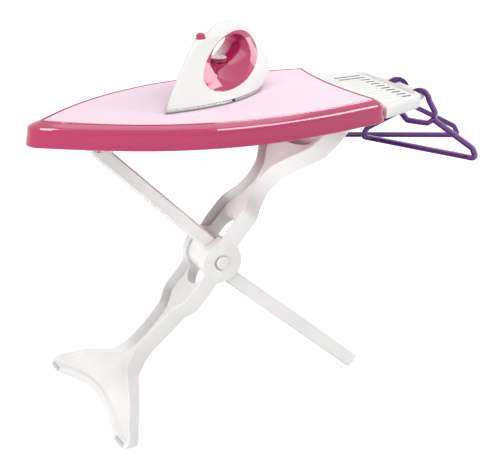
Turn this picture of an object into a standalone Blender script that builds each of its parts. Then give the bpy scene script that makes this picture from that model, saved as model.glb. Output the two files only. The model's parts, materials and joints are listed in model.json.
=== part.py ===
"""Toy ironing board with a scissor stand, an iron rest, a toy iron and two hangers.

Lengths are in metres and +Z is up. X runs from the pointed nose (-X) to the iron rest (+X).
Building coordinates start on the floor below the nose of the cover. At the end the whole
assembly is shifted along X, so that the origin lies on the floor at the middle of its length.
"""

import math

import bmesh
import bpy
from mathutils import Matrix, Vector

# Clearances
GAP = 0.0003
RUNNING_GAP = 0.00012
JOINT_GAP = 0.001
SCREW_GAP = 0.0003

# Board: cover, rim and deck
BOARD_TOP = 0.434
COVER_LENGTH = 0.455
COVER_HALF_WIDTH = 0.126
COVER_WIDEST_X = 0.291
COVER_BACK_HALF_WIDTH = 0.107
COVER_BACK_SAG = 0.010
COVER_THICKNESS = 0.0025
NOSE_RADIUS = 0.003
BACK_CORNER_RADIUS = 0.004
NOSE_HALF_ANGLE = math.radians(44)
NOSE_RIM_GROWTH = 0.55
NOSE_RIM_REACH = 0.09
NOSE_PULL = 0.27
SIDE_PULL = 0.52
BACK_PULL = 0.45
BACK_MEET = 0.25
BACK_FLARE = 0.005
LIP_WIDTH = 0.0025
LIP_RISE = 0.0006
RIM_SHOULDER = 0.0135
RIM_SHOULDER_DROP = 0.009
RIM_DRAFT = 0.0025
RIM_DEPTH = 0.032
SHELL_WALL = 0.003
DECK_THICKNESS = 0.0035

# Iron rest behind the board, with its hanger rail
REST_STEP = 0.0125
REST_DEPTH = 0.0155
REST_LENGTH = 0.102
REST_RIDGE_RISE = 0.003
REST_RIDGE_WIDTH = 0.010
REST_RIDGE_SLOPE = 0.002
REST_FRONT_HALF_WIDTH = 0.112
REST_BACK_HALF_WIDTH = 0.088
REST_CORNER_RADIUS = 0.022
REST_EDGE = 0.005
REST_WALL = 0.003
REST_SCREW_Y = (-0.085, -0.030, 0.030, 0.085)
SLOT_COUNT = 11
LONG_SLOT_COUNT = 2
SLOT_PITCH = 0.0142
SLOT_WIDTH = 0.0042
SLOT_LENGTH = 0.016
GROOVE_LENGTH = 0.048
GROOVE_DEPTH = 0.0008
SLOT_SETBACK = 0.015
RAIL_RADIUS = 0.0055
RAIL_STANDOFF = 0.019
RAIL_HALF_WIDTH = 0.058
RAIL_CORNER_RADIUS = 0.014
RAIL_DROP = 0.008

# Hangers
HANGER_ROD_RADIUS = 0.00375
HOOK_RADIUS = 0.0155
HANGER_HALF_LENGTH = 0.0955
HANGER_BAR_DROP = 0.073
HANGER_SHOULDER_DROP = 0.0585
HANGER_CORNER_RADIUS = 0.0075
HANGER_NECK_DROP = 0.0325
HANGER_END_SLOPE = 0.0035
HOOK_TIP_ANGLE = 150
HOOK_STEM_ANGLE = 8
STEM_BEND = (0.0275, 0.0165)
STEM_FOOT = (0.0235, 0.0065)
STEM_RADIUS = 0.02

# Neck of the hanger from its slack side to its stem side: distance across, height over the neck
HANGER_NECK = ((0.0, -0.001), (-0.020, -0.0015), (-0.033, 0.0105))
HANGER_STEM_SIDE = ((0.024, 0.007), (0.016, 0.0), (0.0, -0.001))

# Hanger places on the rail
NEAR_HANGER_YAW = math.radians(-64)
FAR_HANGER_YAW = math.radians(-28)
FAR_HANGER_Y = 0.018

# Scissor stand: peg, hinge and pivot in the side view
PEG_FROM_NOSE = 0.0729
HINGE_FROM_BACK = 0.0319
HINGE_DROP = 0.0415
PIVOT_Z = 0.1984
LEG_LEAN = math.radians(1.245)
BRACE_LEAN = math.radians(5.445)
BRACE_BEND = math.radians(2.0)

# Main leg, along its own length from the pivot (up is positive)
LEG_DEPTH = 0.027
LEG_RIM = 0.006
LEG_RECESS = 0.0095
LEG_CORNER = 0.003
LEG_TOP_OVERHANG = 0.0106
LEG_TOP_HALF_WIDTH = 0.086
LEG_HUB_HALF_WIDTH = 0.038
LEG_HUB_HALF_LENGTH = 0.074
LEG_HUB_TAPER = 0.031
LEG_UPPER_NECK = 0.0165
LEG_LOWER_NECK = 0.0165
LEG_NECK_FILL = 0.0045
LEG_UPPER_RAISE = 0.013
LEG_LOWER_DROP = 0.0035
LEG_RAISE_START = -0.050
LEG_RAISE_END = 0.045
CHEEK_RADIUS = 0.031
CHEEK_BLEND = 0.012
CHEEK_SOLID = 0.030
WINDOW_TOP = 0.066
WINDOW_BOTTOM = -0.052
WEB_OPEN = 0.0394
WEB_BAY_LENGTH = 0.022
WEB_BAY_HALF_WIDTH = 0.060
LEG_FINE_STEP = 0.006
LEG_COARSE_STEP = 0.012

# Flare to the ears: share of its length, share of the way from the neck's width to the top's
UPPER_NECK_BELOW_HINGE = 0.1364
EAR_FLARE_LENGTH = 0.1154
EAR_FLARE = ((1.0, 0.065), (0.75, 0.396), (0.42, 0.914), (0.14, 1.0))

# Fishtail foot, from the place where the leg's line meets the floor: share of the flare's length up
# the leg, share of the half spread
FOOT_HALF_SPREAD = 0.1535
FOOT_FLARE_LENGTH = 0.072
FOOT_FLARE = ((-0.325, 0.90), (-0.17, 0.985), (-0.055, 1.0), (0.085, 0.945), (0.265, 0.81),
              (0.485, 0.667), (0.78, 0.405), (1.0, 0.21))
FOOT_NECK = 0.105
FOOT_BELOW = 0.0234
FOOT_DEPTH = 0.0140
FOOT_THIN_END = 0.033
FOOT_THICK_START = 0.085
FOOT_TIP_RAISE = 0.0095
FOOT_RAISE = 0.0125
FOOT_NECK_RAISE = 0.0035
FOOT_RECESS = 0.0025
FOOT_RECESS_START = -0.008
FOOT_RIM = 0.009
FOOT_ARCH = 0.0096
FOOT_ARCH_DEPTH = 0.031
FOOT_ARCH_HALF_WIDTH = 0.140
FOOT_ARCH_POWER = 1.8

# Foot pads
PAD_LENGTH = 0.026
PAD_WIDTH = 0.013
PAD_HEIGHT = 0.006
PAD_PROUD = 0.0025
PAD_EDGE = 0.002
PAD_TIP_INSET = 0.0225
PAD_SETBACK = 0.0151

# Brace leg, along its own length from the pivot (down is positive)
BRACE_DEPTH = 0.0215
BRACE_HALF_WIDTH = 0.022
BRACE_FOOT_HALF_WIDTH = 0.070
BRACE_FLARE_START = 0.042
BRACE_FOOT_SHORT = 0.0112
BRACE_HUB_RADIUS = 0.027
BRACE_HUB_SOLID = 0.040
BRACE_STEP = 0.026
BRACE_CORNER = 0.0025
BRACE_WALL = 0.0035
BRACE_PEG_SOLID = 0.018
BRACE_FOOT_WALL = 0.006
BRACE_SIDE_GAP = 0.0022

# Pins and rods
PIN_RADIUS = 0.005
PIN_HEAD_RADIUS = 0.010
PIN_HEAD_HEIGHT = 0.0025
PIN_CROWN = 0.0015
PIN_FLAT = 0.7
PIN_SHORT = 0.0008
ROD_RADIUS = 0.003
ROD_CAP_RADIUS = 0.007
ROD_CAP_LENGTH = 0.004
PEG_RADIUS = 0.004

# Brackets under the deck
BRACKET_PLATE = 0.005
LUG_THICKNESS = 0.008
LUG_RADIUS = 0.009
LUG_FOOT = 0.0144
HINGE_PLATE_FRONT = 0.036
HINGE_PLATE_BACK = 0.0155
HINGE_SCREW_Y = 0.0493
SCREW_EDGE = 0.007
CATCH_CHEEK_THICKNESS = 0.006
CATCH_CHEEK_GAP = 0.003
CATCH_FRONT = 0.024
CATCH_BACK = 0.016
CATCH_DROP = 0.0085
CATCH_MOUTH = 0.006
CATCH_MOUTH_BUMP = 0.0006
CATCH_SCREW_SPREAD = 0.012

# Screws
SCREW_RADIUS = 0.0016
SCREW_HEAD_RADIUS = 0.0034
SCREW_HEAD_HEIGHT = 0.0022
SCREW_BITE = 0.0022
SCREW_CROWN = 0.4
SCREW_FLAT = 0.6

# Toy iron: s runs from the tip to the tail, height from the cover
IRON_TIP_X = 0.160
IRON_TIP_Y = -0.048
IRON_YAW = math.radians(32)
IRON_HEEL_S = 0.243
IRON_HALF_WIDTH = 0.047
IRON_HEIGHT = 0.1015
IRON_WIDEST = 0.62
HEEL_BLUNTNESS = 2.8
SOLE_HEIGHT = 0.0048
SOLE_EDGE = 0.0015
SOLE_BEVEL = 0.001
IRON_TIP_GROWTH = 1.6
IRON_WALL = 0.003
IRON_HOLLOW_TOP = 0.074
COLUMN_TOP = 0.088
HANDLE_FRONT_S = 0.0975
HANDLE_FRONT_SLOPE = 2.0
OPENING_S = 0.1346
OPENING_HEIGHT = 0.0526
OPENING_HALF_LENGTH = 0.0617
OPENING_HALF_HEIGHT = 0.0355
OPENING_SLANT = 0.81
OPENING_LEAN = -0.14
LINER_RIM = 0.0016
LINER_REACH = 0.043
LINER_STATIONS = (-1.35, -1.0, -0.7, -0.4, -0.15, 0.15, 0.4, 0.7, 1.0, 1.35)
WAIST_S = 0.134
WAIST_HEIGHT = 0.0665
WAIST_HALF_LENGTH = 0.040
WAIST_HALF_HEIGHT = 0.0180
WAIST_FLARE = 1.7
DIAL_S = 0.132
DIAL_RADIUS = 0.0125
DIAL_HEIGHT = 0.0075
DIAL_TOP = 0.0545
DIAL_TEETH = 30
DIAL_TOOTH = 0.0006
DIAL_SPINDLE_RADIUS = 0.003
DIAL_SPINDLE_LENGTH = 0.006
BUTTON_S = 0.0875
BUTTON_RADIUS = 0.0068
BUTTON_TOP = 0.0965
BUTTON_TRAVEL = 0.0035
BUTTON_WALL = 0.0015
BUTTON_ROOF = 0.004
BUTTON_DOME = ((0.0, 0.0), (0.55, 0.0006), (0.86, 0.0024), (1.0, 0.0055))
BUTTON_STEM_RADIUS = 0.0025
BUTTON_FOOT = 0.0016
BUTTON_WELL_FLOOR = 0.0805
SPRING_WIRE = 0.0009
SPRING_RADIUS = 0.0040
SPRING_CURLS = 5
SPRING_CURL_POINTS = 9
IRON_SCREW_S = (0.106, 0.133, 0.160)
IRON_SCREW_HEIGHT = (0.0855, 0.0945, 0.0960)
IRON_SCREW_GRIP = 0.004
IRON_SCREW_BITE = 0.003

# Profiles of the iron over the height: place of the front edge, distance in front of the heel, loss of
# half width, and sharpness of the front
IRON_FRONT = ((0.0, 0.0), (0.040, 0.025), (0.0635, 0.047), (0.081, 0.067), (0.088, 0.0735))
IRON_TAIL = ((0.0, 0.036), (0.020, 0.0035), (0.034, 0.0), (0.058, 0.011), (0.078, 0.026),
             (0.092, 0.045), (0.1015, 0.070))
IRON_NARROWING = ((0.0, 0.0), (0.020, 0.004), (0.050, 0.017), (0.075, 0.030), (0.092, 0.035),
                  (0.1015, 0.041))
IRON_SHARPNESS = ((0.0, 0.92), (0.050, 0.80), (0.075, 0.48), (0.088, 0.34))
IRON_LEVELS = (0.014, 0.028, 0.042, 0.056, 0.069, 0.080, 0.0865, 0.088, 0.0905, 0.0955, 0.0995)

# Colours as (red, green, blue), roughness
PINK = ((0.68, 0.10, 0.27), 0.25)
PALE_PINK = ((0.90, 0.72, 0.82), 0.75)
WHITE = ((0.86, 0.86, 0.86), 0.35)
PURPLE = ((0.16, 0.05, 0.30), 0.25)
GREY = ((0.55, 0.55, 0.55), 0.4)
STEEL = ((0.60, 0.60, 0.62), 0.3)

MAIN_SIDES = 32
SMALL_SIDES = 12

# Places that follow from the sizes above
DECK_TOP = BOARD_TOP - COVER_THICKNESS - GAP
DECK_BOTTOM = DECK_TOP - DECK_THICKNESS
RIM_BOTTOM = BOARD_TOP - RIM_DEPTH
RIM_OUT = RIM_SHOULDER + RIM_DRAFT
PLATE_TOP = DECK_BOTTOM - GAP
PLATE_BOTTOM = PLATE_TOP - BRACKET_PLATE
REST_TOP = BOARD_TOP - REST_STEP
REST_BOTTOM = REST_TOP - REST_DEPTH
RAIL_Z = REST_TOP - RAIL_DROP
REST_BACK_X = COVER_LENGTH + REST_LENGTH
RAIL_X = REST_BACK_X + RAIL_STANDOFF
PEG_X = PEG_FROM_NOSE
HINGE_X = COVER_LENGTH - HINGE_FROM_BACK
HINGE_Z = BOARD_TOP - HINGE_DROP
HINGE_SPREAD = (HINGE_X - PEG_X) / 2
PIVOT_X = PEG_X + HINGE_SPREAD
HINGE_RISE = HINGE_Z - PIVOT_Z
SCISSOR_SLOPE = math.atan2(HINGE_RISE, HINGE_SPREAD)
LEG_SLOPE = SCISSOR_SLOPE - LEG_LEAN
BRACE_SLOPE = SCISSOR_SLOPE - BRACE_LEAN
HINGE_T = HINGE_SPREAD * math.cos(LEG_SLOPE) + HINGE_RISE * math.sin(LEG_SLOPE)
HINGE_N = HINGE_RISE * math.cos(LEG_SLOPE) - HINGE_SPREAD * math.sin(LEG_SLOPE)
FLOOR_T = -PIVOT_Z / math.sin(LEG_SLOPE)
LEG_TOP_T = HINGE_T + LEG_TOP_OVERHANG
WEB_OPEN_T = HINGE_T - WEB_OPEN
EAR_INNER = LEG_TOP_HALF_WIDTH - LEG_RIM
LUG_Y = EAR_INNER - JOINT_GAP / 2 - LUG_THICKNESS / 2
PEG_LOCAL_X = -(HINGE_SPREAD * math.cos(BRACE_SLOPE) + HINGE_RISE * math.sin(BRACE_SLOPE))
PEG_LOCAL_Z = HINGE_RISE * math.cos(BRACE_SLOPE) - HINGE_SPREAD * math.sin(BRACE_SLOPE)
BRACE_FOOT_END = PIVOT_Z / math.sin(BRACE_SLOPE) - BRACE_FOOT_SHORT
UPRIGHT = Matrix.Rotation(math.radians(90), 4, "X")


# Scene set-up and small builders

def clear_scene():
    for obj in list(bpy.data.objects):
        bpy.data.objects.remove(obj, do_unlink=True)


def new_collection(name):
    found = bpy.data.collections.new(name)
    bpy.context.scene.collection.children.link(found)
    return found


def material(name, look, metallic=0.0):
    colour, roughness = look
    made = bpy.data.materials.new(name)
    made.use_nodes = True
    shader = made.node_tree.nodes["Principled BSDF"]
    shader.inputs["Base Color"].default_value = (*colour, 1.0)
    shader.inputs["Roughness"].default_value = roughness
    shader.inputs["Metallic"].default_value = metallic
    return made


def frame(name, location, rotation=None, parent=None):
    """An empty that carries the pieces of one body, on that body's joint axis."""
    empty = bpy.data.objects.new(name, None)
    empty.empty_display_size = 0.02
    PARTS.objects.link(empty)
    empty.parent = parent
    turn = rotation if rotation else Matrix.Identity(4)
    empty.matrix_local = Matrix.Translation(location) @ turn
    return empty


def add_object(name, mesh, parent, look=None, metallic=0.0):
    """A part where a look is given, and otherwise a hidden cutter."""
    obj = bpy.data.objects.new(name, mesh)
    obj.parent = parent
    if look:
        PARTS.objects.link(obj)
        mesh.materials.append(material(name, look, metallic))
        mesh.shade_smooth()
        mesh.set_sharp_from_angle(angle=math.radians(35))
    else:
        CUTTERS.objects.link(obj)
        obj.hide_render = True
        obj.display_type = "WIRE"
    return obj


def mesh_from(bm, name):
    bmesh.ops.recalc_face_normals(bm, faces=bm.faces)
    mesh = bpy.data.meshes.new(name)
    bm.to_mesh(mesh)
    bm.free()
    return mesh


def loft(name, rings, parent, look=None):
    """A closed solid through rings of equally many points, with flat ends."""
    bm = bmesh.new()
    loops = [[bm.verts.new(point) for point in ring] for ring in rings]
    count = len(loops[0])
    for low, high in zip(loops, loops[1:]):
        for i in range(count):
            j = (i + 1) % count
            bm.faces.new((low[i], low[j], high[j], high[i]))
    bm.faces.new(loops[0])
    bm.faces.new(loops[-1])
    return add_object(name, mesh_from(bm, name), parent, look)


def curve_mesh(name, curve, place):
    """The evaluated curve as a mesh with its caps welded on."""
    source = bpy.data.objects.new(name + "_curve", curve)
    bpy.context.scene.collection.objects.link(source)
    bpy.context.view_layer.update()
    graph = bpy.context.evaluated_depsgraph_get()
    mesh = bpy.data.meshes.new_from_object(source.evaluated_get(graph))
    bpy.data.objects.remove(source, do_unlink=True)
    bm = bmesh.new()
    bm.from_mesh(mesh)
    bmesh.ops.remove_doubles(bm, verts=bm.verts, dist=1e-6)
    bmesh.ops.transform(bm, matrix=place, verts=bm.verts)
    bpy.data.meshes.remove(mesh)
    return mesh_from(bm, name)


def plate(name, outline, thickness, place, parent, look=None):
    """A flat outline in the XY plane of place, thick on both sides of it."""
    curve = bpy.data.curves.new(name, "CURVE")
    curve.dimensions = "2D"
    curve.fill_mode = "BOTH"
    curve.extrude = thickness / 2
    spline = curve.splines.new("POLY")
    spline.points.add(len(outline) - 1)
    for point, (x, y) in zip(spline.points, outline):
        point.co = (x, y, 0.0, 1.0)
    spline.use_cyclic_u = True
    return add_object(name, curve_mesh(name, curve, place), parent, look)


def tube(name, path, radius, parent, look=None, closed=False, resolution=2):
    """A round rod along a list of points."""
    curve = bpy.data.curves.new(name, "CURVE")
    curve.dimensions = "3D"
    curve.bevel_depth = radius
    curve.bevel_resolution = resolution
    curve.use_fill_caps = True
    spline = curve.splines.new("POLY")
    spline.points.add(len(path) - 1)
    for point, place in zip(spline.points, path):
        point.co = (*place, 1.0)
    spline.use_cyclic_u = closed
    return add_object(name, curve_mesh(name, curve, Matrix.Identity(4)), parent, look)


def along(axis):
    """Turns +Z to the given axis."""
    return Vector((0, 0, 1)).rotation_difference(Vector(axis)).to_matrix().to_4x4()


def round_bars(name, bars, parent, look=None, sides=MAIN_SIDES, metallic=0.0):
    """One or more separate cylinders: each is (start, end, radius)."""
    bm = bmesh.new()
    for start, end, radius in bars:
        start, end = Vector(start), Vector(end)
        place = Matrix.Translation((start + end) / 2) @ along(end - start)
        bmesh.ops.create_cone(
            bm, cap_ends=True, segments=sides, radius1=radius, radius2=radius,
            depth=(end - start).length, matrix=place)
    return add_object(name, mesh_from(bm, name), parent, look, metallic)


def turned(name, profile, place, parent, look, sides=MAIN_SIDES, metallic=0.0):
    """A solid of revolution about Z; the profile runs from the axis at the top to the axis below."""
    mesh = bpy.data.meshes.new(name)
    points = [(radius, 0.0, height) for radius, height in profile]
    edges = [(i, i + 1) for i in range(len(points) - 1)]
    mesh.from_pydata(points, edges, [])
    obj = add_object(name, mesh, parent, look, metallic)
    obj.matrix_local = place
    spin = obj.modifiers.new("turn", "SCREW")
    spin.angle = math.tau
    spin.steps = sides
    spin.render_steps = sides
    spin.use_merge_vertices = True
    spin.merge_threshold = 0.00001
    return obj


def boxes(name, corners, parent, look=None):
    """One or more separate boxes, each from its low to its high corner."""
    bm = bmesh.new()
    for low, high in corners:
        low, high = Vector(low), Vector(high)
        size = Matrix.Diagonal((*(high - low), 1.0))
        bmesh.ops.create_cube(bm, size=1.0, matrix=Matrix.Translation((low + high) / 2) @ size)
    return add_object(name, mesh_from(bm, name), parent, look)


def boolean(target, tool, operation="DIFFERENCE"):
    change = target.modifiers.new(tool.name, "BOOLEAN")
    change.operation = operation
    change.solver = "EXACT"
    change.object = tool


def arc(centre, radius, start, end, count):
    """Points on an arc in the plane, both ends included, angles in degrees."""
    steps = [math.radians(start + (end - start) * i / (count - 1)) for i in range(count)]
    return [(centre[0] + radius * math.cos(a), centre[1] + radius * math.sin(a)) for a in steps]


def eased(keys, at):
    """A smooth value between hand-set (place, value) keys, level at turning points."""
    if at <= keys[0][0]:
        return keys[0][1]
    if at >= keys[-1][0]:
        return keys[-1][1]
    index = max(i for i, key in enumerate(keys[:-1]) if key[0] <= at)

    def slope(i):
        if i in (0, len(keys) - 1):
            return 0.0
        before = (keys[i][1] - keys[i - 1][1]) / (keys[i][0] - keys[i - 1][0])
        after = (keys[i + 1][1] - keys[i][1]) / (keys[i + 1][0] - keys[i][0])
        if before * after <= 0:
            return 0.0
        return 2 * before * after / (before + after)

    (x0, y0), (x1, y1) = keys[index], keys[index + 1]
    span = x1 - x0
    u = (at - x0) / span
    ease = u * u * (3 - 2 * u)
    rise = slope(index) * span * u * (1 - u) ** 2 - slope(index + 1) * span * u * u * (1 - u)
    return y0 + (y1 - y0) * ease + rise


def section(x, half_width, low, high, corner):
    """A rectangle across X with cut corners, as a ring of points."""
    cut = min(corner, (high - low) / 3, half_width / 3)
    return [
        Vector((x, -half_width + cut, low)), Vector((x, half_width - cut, low)),
        Vector((x, half_width, low + cut)), Vector((x, half_width, high - cut)),
        Vector((x, half_width - cut, high)), Vector((x, -half_width + cut, high)),
        Vector((x, -half_width, high - cut)), Vector((x, -half_width, low + cut))]


# Board

def bezier(a, b, c, d, u):
    v = 1 - u
    return tuple(v ** 3 * p + 3 * v * v * u * q + 3 * v * u * u * r + u ** 3 * s
                 for p, q, r, s in zip(a, b, c, d))


def cover_half_outline():
    """The +Y half of the cover's edge, from the nose to the middle of the back."""
    apex = NOSE_RADIUS / math.cos(NOSE_HALF_ANGLE)
    turn_end = 90 + math.degrees(NOSE_HALF_ANGLE)
    points = arc((apex, 0.0), NOSE_RADIUS, 180, turn_end, 4)
    nose = points[-1]
    widest = (COVER_WIDEST_X, COVER_HALF_WIDTH)
    corner = (COVER_LENGTH, COVER_BACK_HALF_WIDTH)
    reach = COVER_WIDEST_X * NOSE_PULL
    leave = (nose[0] + reach * math.cos(NOSE_HALF_ANGLE), nose[1] + reach * math.sin(NOSE_HALF_ANGLE))
    arrive = (COVER_WIDEST_X * SIDE_PULL, COVER_HALF_WIDTH)
    points += [bezier(nose, leave, arrive, widest, i / 11) for i in range(1, 12)]
    rest = COVER_LENGTH - COVER_WIDEST_X
    pull = (COVER_WIDEST_X + rest * BACK_PULL, COVER_HALF_WIDTH)
    meet = (COVER_LENGTH - rest * BACK_MEET, COVER_BACK_HALF_WIDTH + BACK_FLARE)
    side = [bezier(widest, pull, meet, corner, i / 6) for i in range(1, 6)]
    r = BACK_CORNER_RADIUS
    points += side + arc((corner[0] - r, corner[1] - r), r, 75, 12, 4)
    for i in range(1, 6):
        y = (COVER_BACK_HALF_WIDTH - r) * (1 - i / 5)
        points.append((back_edge_x(y), y))
    return points


def back_edge_x(y):
    """Where the cover's hollow back edge runs at a given half width."""
    return COVER_LENGTH - COVER_BACK_SAG * (1 - (y / COVER_BACK_HALF_WIDTH) ** 2)


def board_outline(offset):
    """The cover's edge moved outwards; the rim reaches further at the nose."""
    half = cover_half_outline()
    whole = half + [(x, -y) for x, y in reversed(half[1:-1])]
    moved = []
    for i, (x, y) in enumerate(whole):
        before, after = Vector(whole[i - 1]), Vector(whole[(i + 1) % len(whole)])
        tangent = (after - before).normalized()
        normal = Vector((-tangent.y, tangent.x))
        near_nose = max(0.0, 1 - x / NOSE_RIM_REACH)
        grow = offset * (1 + NOSE_RIM_GROWTH * near_nose ** 2)
        moved.append((x + normal.x * grow, y + normal.y * grow))
    return moved


def board_ring(offset, z):
    return [Vector((x, y, z)) for x, y in board_outline(offset)]


def build_board():
    shell = loft("board_shell", [
        board_ring(0.0, DECK_TOP),
        board_ring(0.0, BOARD_TOP + LIP_RISE),
        board_ring(LIP_WIDTH, BOARD_TOP),
        board_ring(RIM_SHOULDER, BOARD_TOP - RIM_SHOULDER_DROP),
        board_ring(RIM_OUT, RIM_BOTTOM),
        board_ring(RIM_OUT - SHELL_WALL, RIM_BOTTOM),
        board_ring(RIM_SHOULDER - SHELL_WALL, BOARD_TOP - RIM_SHOULDER_DROP - SHELL_WALL),
        board_ring(LIP_WIDTH - SHELL_WALL, DECK_BOTTOM)], ROOT, PINK)
    loft("cover", [
        board_ring(-GAP, BOARD_TOP - COVER_THICKNESS),
        board_ring(-GAP, BOARD_TOP)], ROOT, PALE_PINK)
    return shell


def screws(name, places, axis, grip, bite, parent):
    """Screws with the tops of their heads at the places; gives the clearance holes they need."""
    axis = Vector(axis)
    head = SCREW_HEAD_HEIGHT
    end = head + grip + bite
    profile = [(0.0, end), (SCREW_RADIUS, end), (SCREW_RADIUS, head), (SCREW_HEAD_RADIUS, head),
               (SCREW_HEAD_RADIUS, head * SCREW_CROWN), (SCREW_HEAD_RADIUS * SCREW_FLAT, 0.0), (0.0, 0.0)]
    holes = []
    for i, place in enumerate(map(Vector, places), 1):
        turned("%s_%d" % (name, i), profile, Matrix.Translation(place) @ along(axis), parent,
               STEEL, SMALL_SIDES, 1.0)
        start = place + axis * head * 0.5
        holes.append((start, place + axis * (end + SCREW_GAP), SCREW_RADIUS + SCREW_GAP))
    return round_bars(name + "_holes", holes, parent, sides=SMALL_SIDES)


def build_bracket(name, x_low, x_high, half_width, cheeks, screw_name, screw_places, shell):
    """A plate under the deck with hanging cheeks, held by screws into the deck."""
    bracket = boxes(name, [((x_low, -half_width, PLATE_BOTTOM), (x_high, half_width, PLATE_TOP))],
                    ROOT, WHITE)
    for cheek in cheeks:
        boolean(bracket, cheek, "UNION")
    head_z = PLATE_BOTTOM - GAP - SCREW_HEAD_HEIGHT
    places = [(x, y, head_z) for x, y in screw_places]
    holes = screws(screw_name, places, (0, 0, 1), BRACKET_PLATE + 2 * GAP, SCREW_BITE, ROOT)
    boolean(bracket, holes)
    boolean(shell, holes)
    return bracket


def side_plate(name, outline, thickness, y, parent):
    """An outline in the XZ plane, centred on a given Y."""
    return plate(name, outline, thickness, Matrix.Translation((0, y, 0)) @ UPRIGHT, parent)


def build_hinge(shell):
    """The bracket that carries the main leg, its rod and the caps on the rod's ends."""
    low, high = HINGE_X - HINGE_PLATE_FRONT, HINGE_X + HINGE_PLATE_BACK
    base = PLATE_BOTTOM + BRACKET_PLATE / 2
    outline = arc((HINGE_X, HINGE_Z), LUG_RADIUS, 180, 360, 9)
    outline += [(HINGE_X + LUG_FOOT, base), (HINGE_X - LUG_FOOT, base)]
    lugs = [side_plate("hinge_lug_%d" % i, outline, LUG_THICKNESS, y, ROOT)
            for i, y in enumerate((-LUG_Y, LUG_Y))]
    half = EAR_INNER - JOINT_GAP / 2
    places = [(x, side * HINGE_SCREW_Y) for x in (low + SCREW_EDGE, high - SCREW_EDGE) for side in (-1, 1)]
    bracket = build_bracket("hinge_bracket", low, high, half, lugs, "hinge_screw", places, shell)
    reach = LEG_TOP_HALF_WIDTH + GAP + ROD_CAP_LENGTH
    axis = [((HINGE_X, -reach, HINGE_Z), (HINGE_X, reach, HINGE_Z))]
    round_bars("hinge_rod", [(*axis[0], ROD_RADIUS)], ROOT, STEEL, metallic=1.0)
    past = 2 * reach
    bore = round_bars("hinge_bore", [
        ((HINGE_X, -past, HINGE_Z), (HINGE_X, past, HINGE_Z), ROD_RADIUS + RUNNING_GAP)], ROOT)
    boolean(bracket, bore)
    inner = LEG_TOP_HALF_WIDTH + GAP
    for name, side in (("rod_cap_near", -1), ("rod_cap_far", 1)):
        ends = [((HINGE_X, side * inner, HINGE_Z), (HINGE_X, side * reach, HINGE_Z), ROD_CAP_RADIUS)]
        boolean(round_bars(name, ends, ROOT, STEEL, metallic=1.0), bore)
    return bore


def build_catch(shell):
    """The snap-in catch for the peg of the brace, open towards the nose."""
    slot = PEG_RADIUS + JOINT_GAP / 2
    front, back = PEG_X - CATCH_FRONT, PEG_X + CATCH_BACK
    bottom = HINGE_Z - CATCH_DROP
    base = PLATE_BOTTOM + BRACKET_PLATE / 2
    mouth = front + CATCH_MOUTH
    throat = mouth + CATCH_MOUTH
    outline = [(front, bottom), (mouth, HINGE_Z - slot + CATCH_MOUTH_BUMP), (throat, HINGE_Z - slot)]
    outline += arc((PEG_X, HINGE_Z), slot, 270, 450, 9)
    outline += [(throat, HINGE_Z + slot), (mouth, HINGE_Z + slot - CATCH_MOUTH_BUMP)]
    outline += [(front, HINGE_Z + CATCH_DROP), (front, base), (back, base), (back, bottom)]
    inner = BRACE_HALF_WIDTH + CATCH_CHEEK_GAP
    y = inner + CATCH_CHEEK_THICKNESS / 2
    cheeks = [side_plate("catch_cheek_%d" % i, outline, CATCH_CHEEK_THICKNESS, side * y, ROOT)
              for i, side in enumerate((-1, 1))]
    half = inner + CATCH_CHEEK_THICKNESS
    middle = (front + back) / 2
    places = [(middle + side * CATCH_SCREW_SPREAD, 0.0) for side in (-1, 1)]
    build_bracket("catch_bracket", front, back, half, cheeks, "catch_screw", places, shell)


# Iron rest

def rest_outline(inset):
    """Plan of the rest: its front follows the board's hollow back, its rear corners are round."""
    front_y = REST_FRONT_HALF_WIDTH - inset
    back_y = REST_BACK_HALF_WIDTH - inset
    front_x = RIM_OUT + JOINT_GAP + inset
    r = REST_CORNER_RADIUS - inset * 0.6
    half = [(back_edge_x(front_y * i / 4) + front_x, front_y * i / 4) for i in range(5)]
    centre = (REST_BACK_X - inset - r, back_y - r)
    half += list(reversed(arc(centre, r, 0, 72, 5)))
    half += [(REST_BACK_X - inset, centre[1] * 0.5), (REST_BACK_X - inset, 0.0)]
    return half + [(x, -y) for x, y in reversed(half[1:-1])]


def ridge_top(x):
    """The ridge rises from the plate's level at the board to its full height behind."""
    start = COVER_LENGTH + RIM_OUT
    share = min(1.0, max(0.0, (x - start) / (REST_BACK_X - REST_RIDGE_WIDTH - start)))
    return REST_TOP + REST_RIDGE_RISE * share


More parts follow.
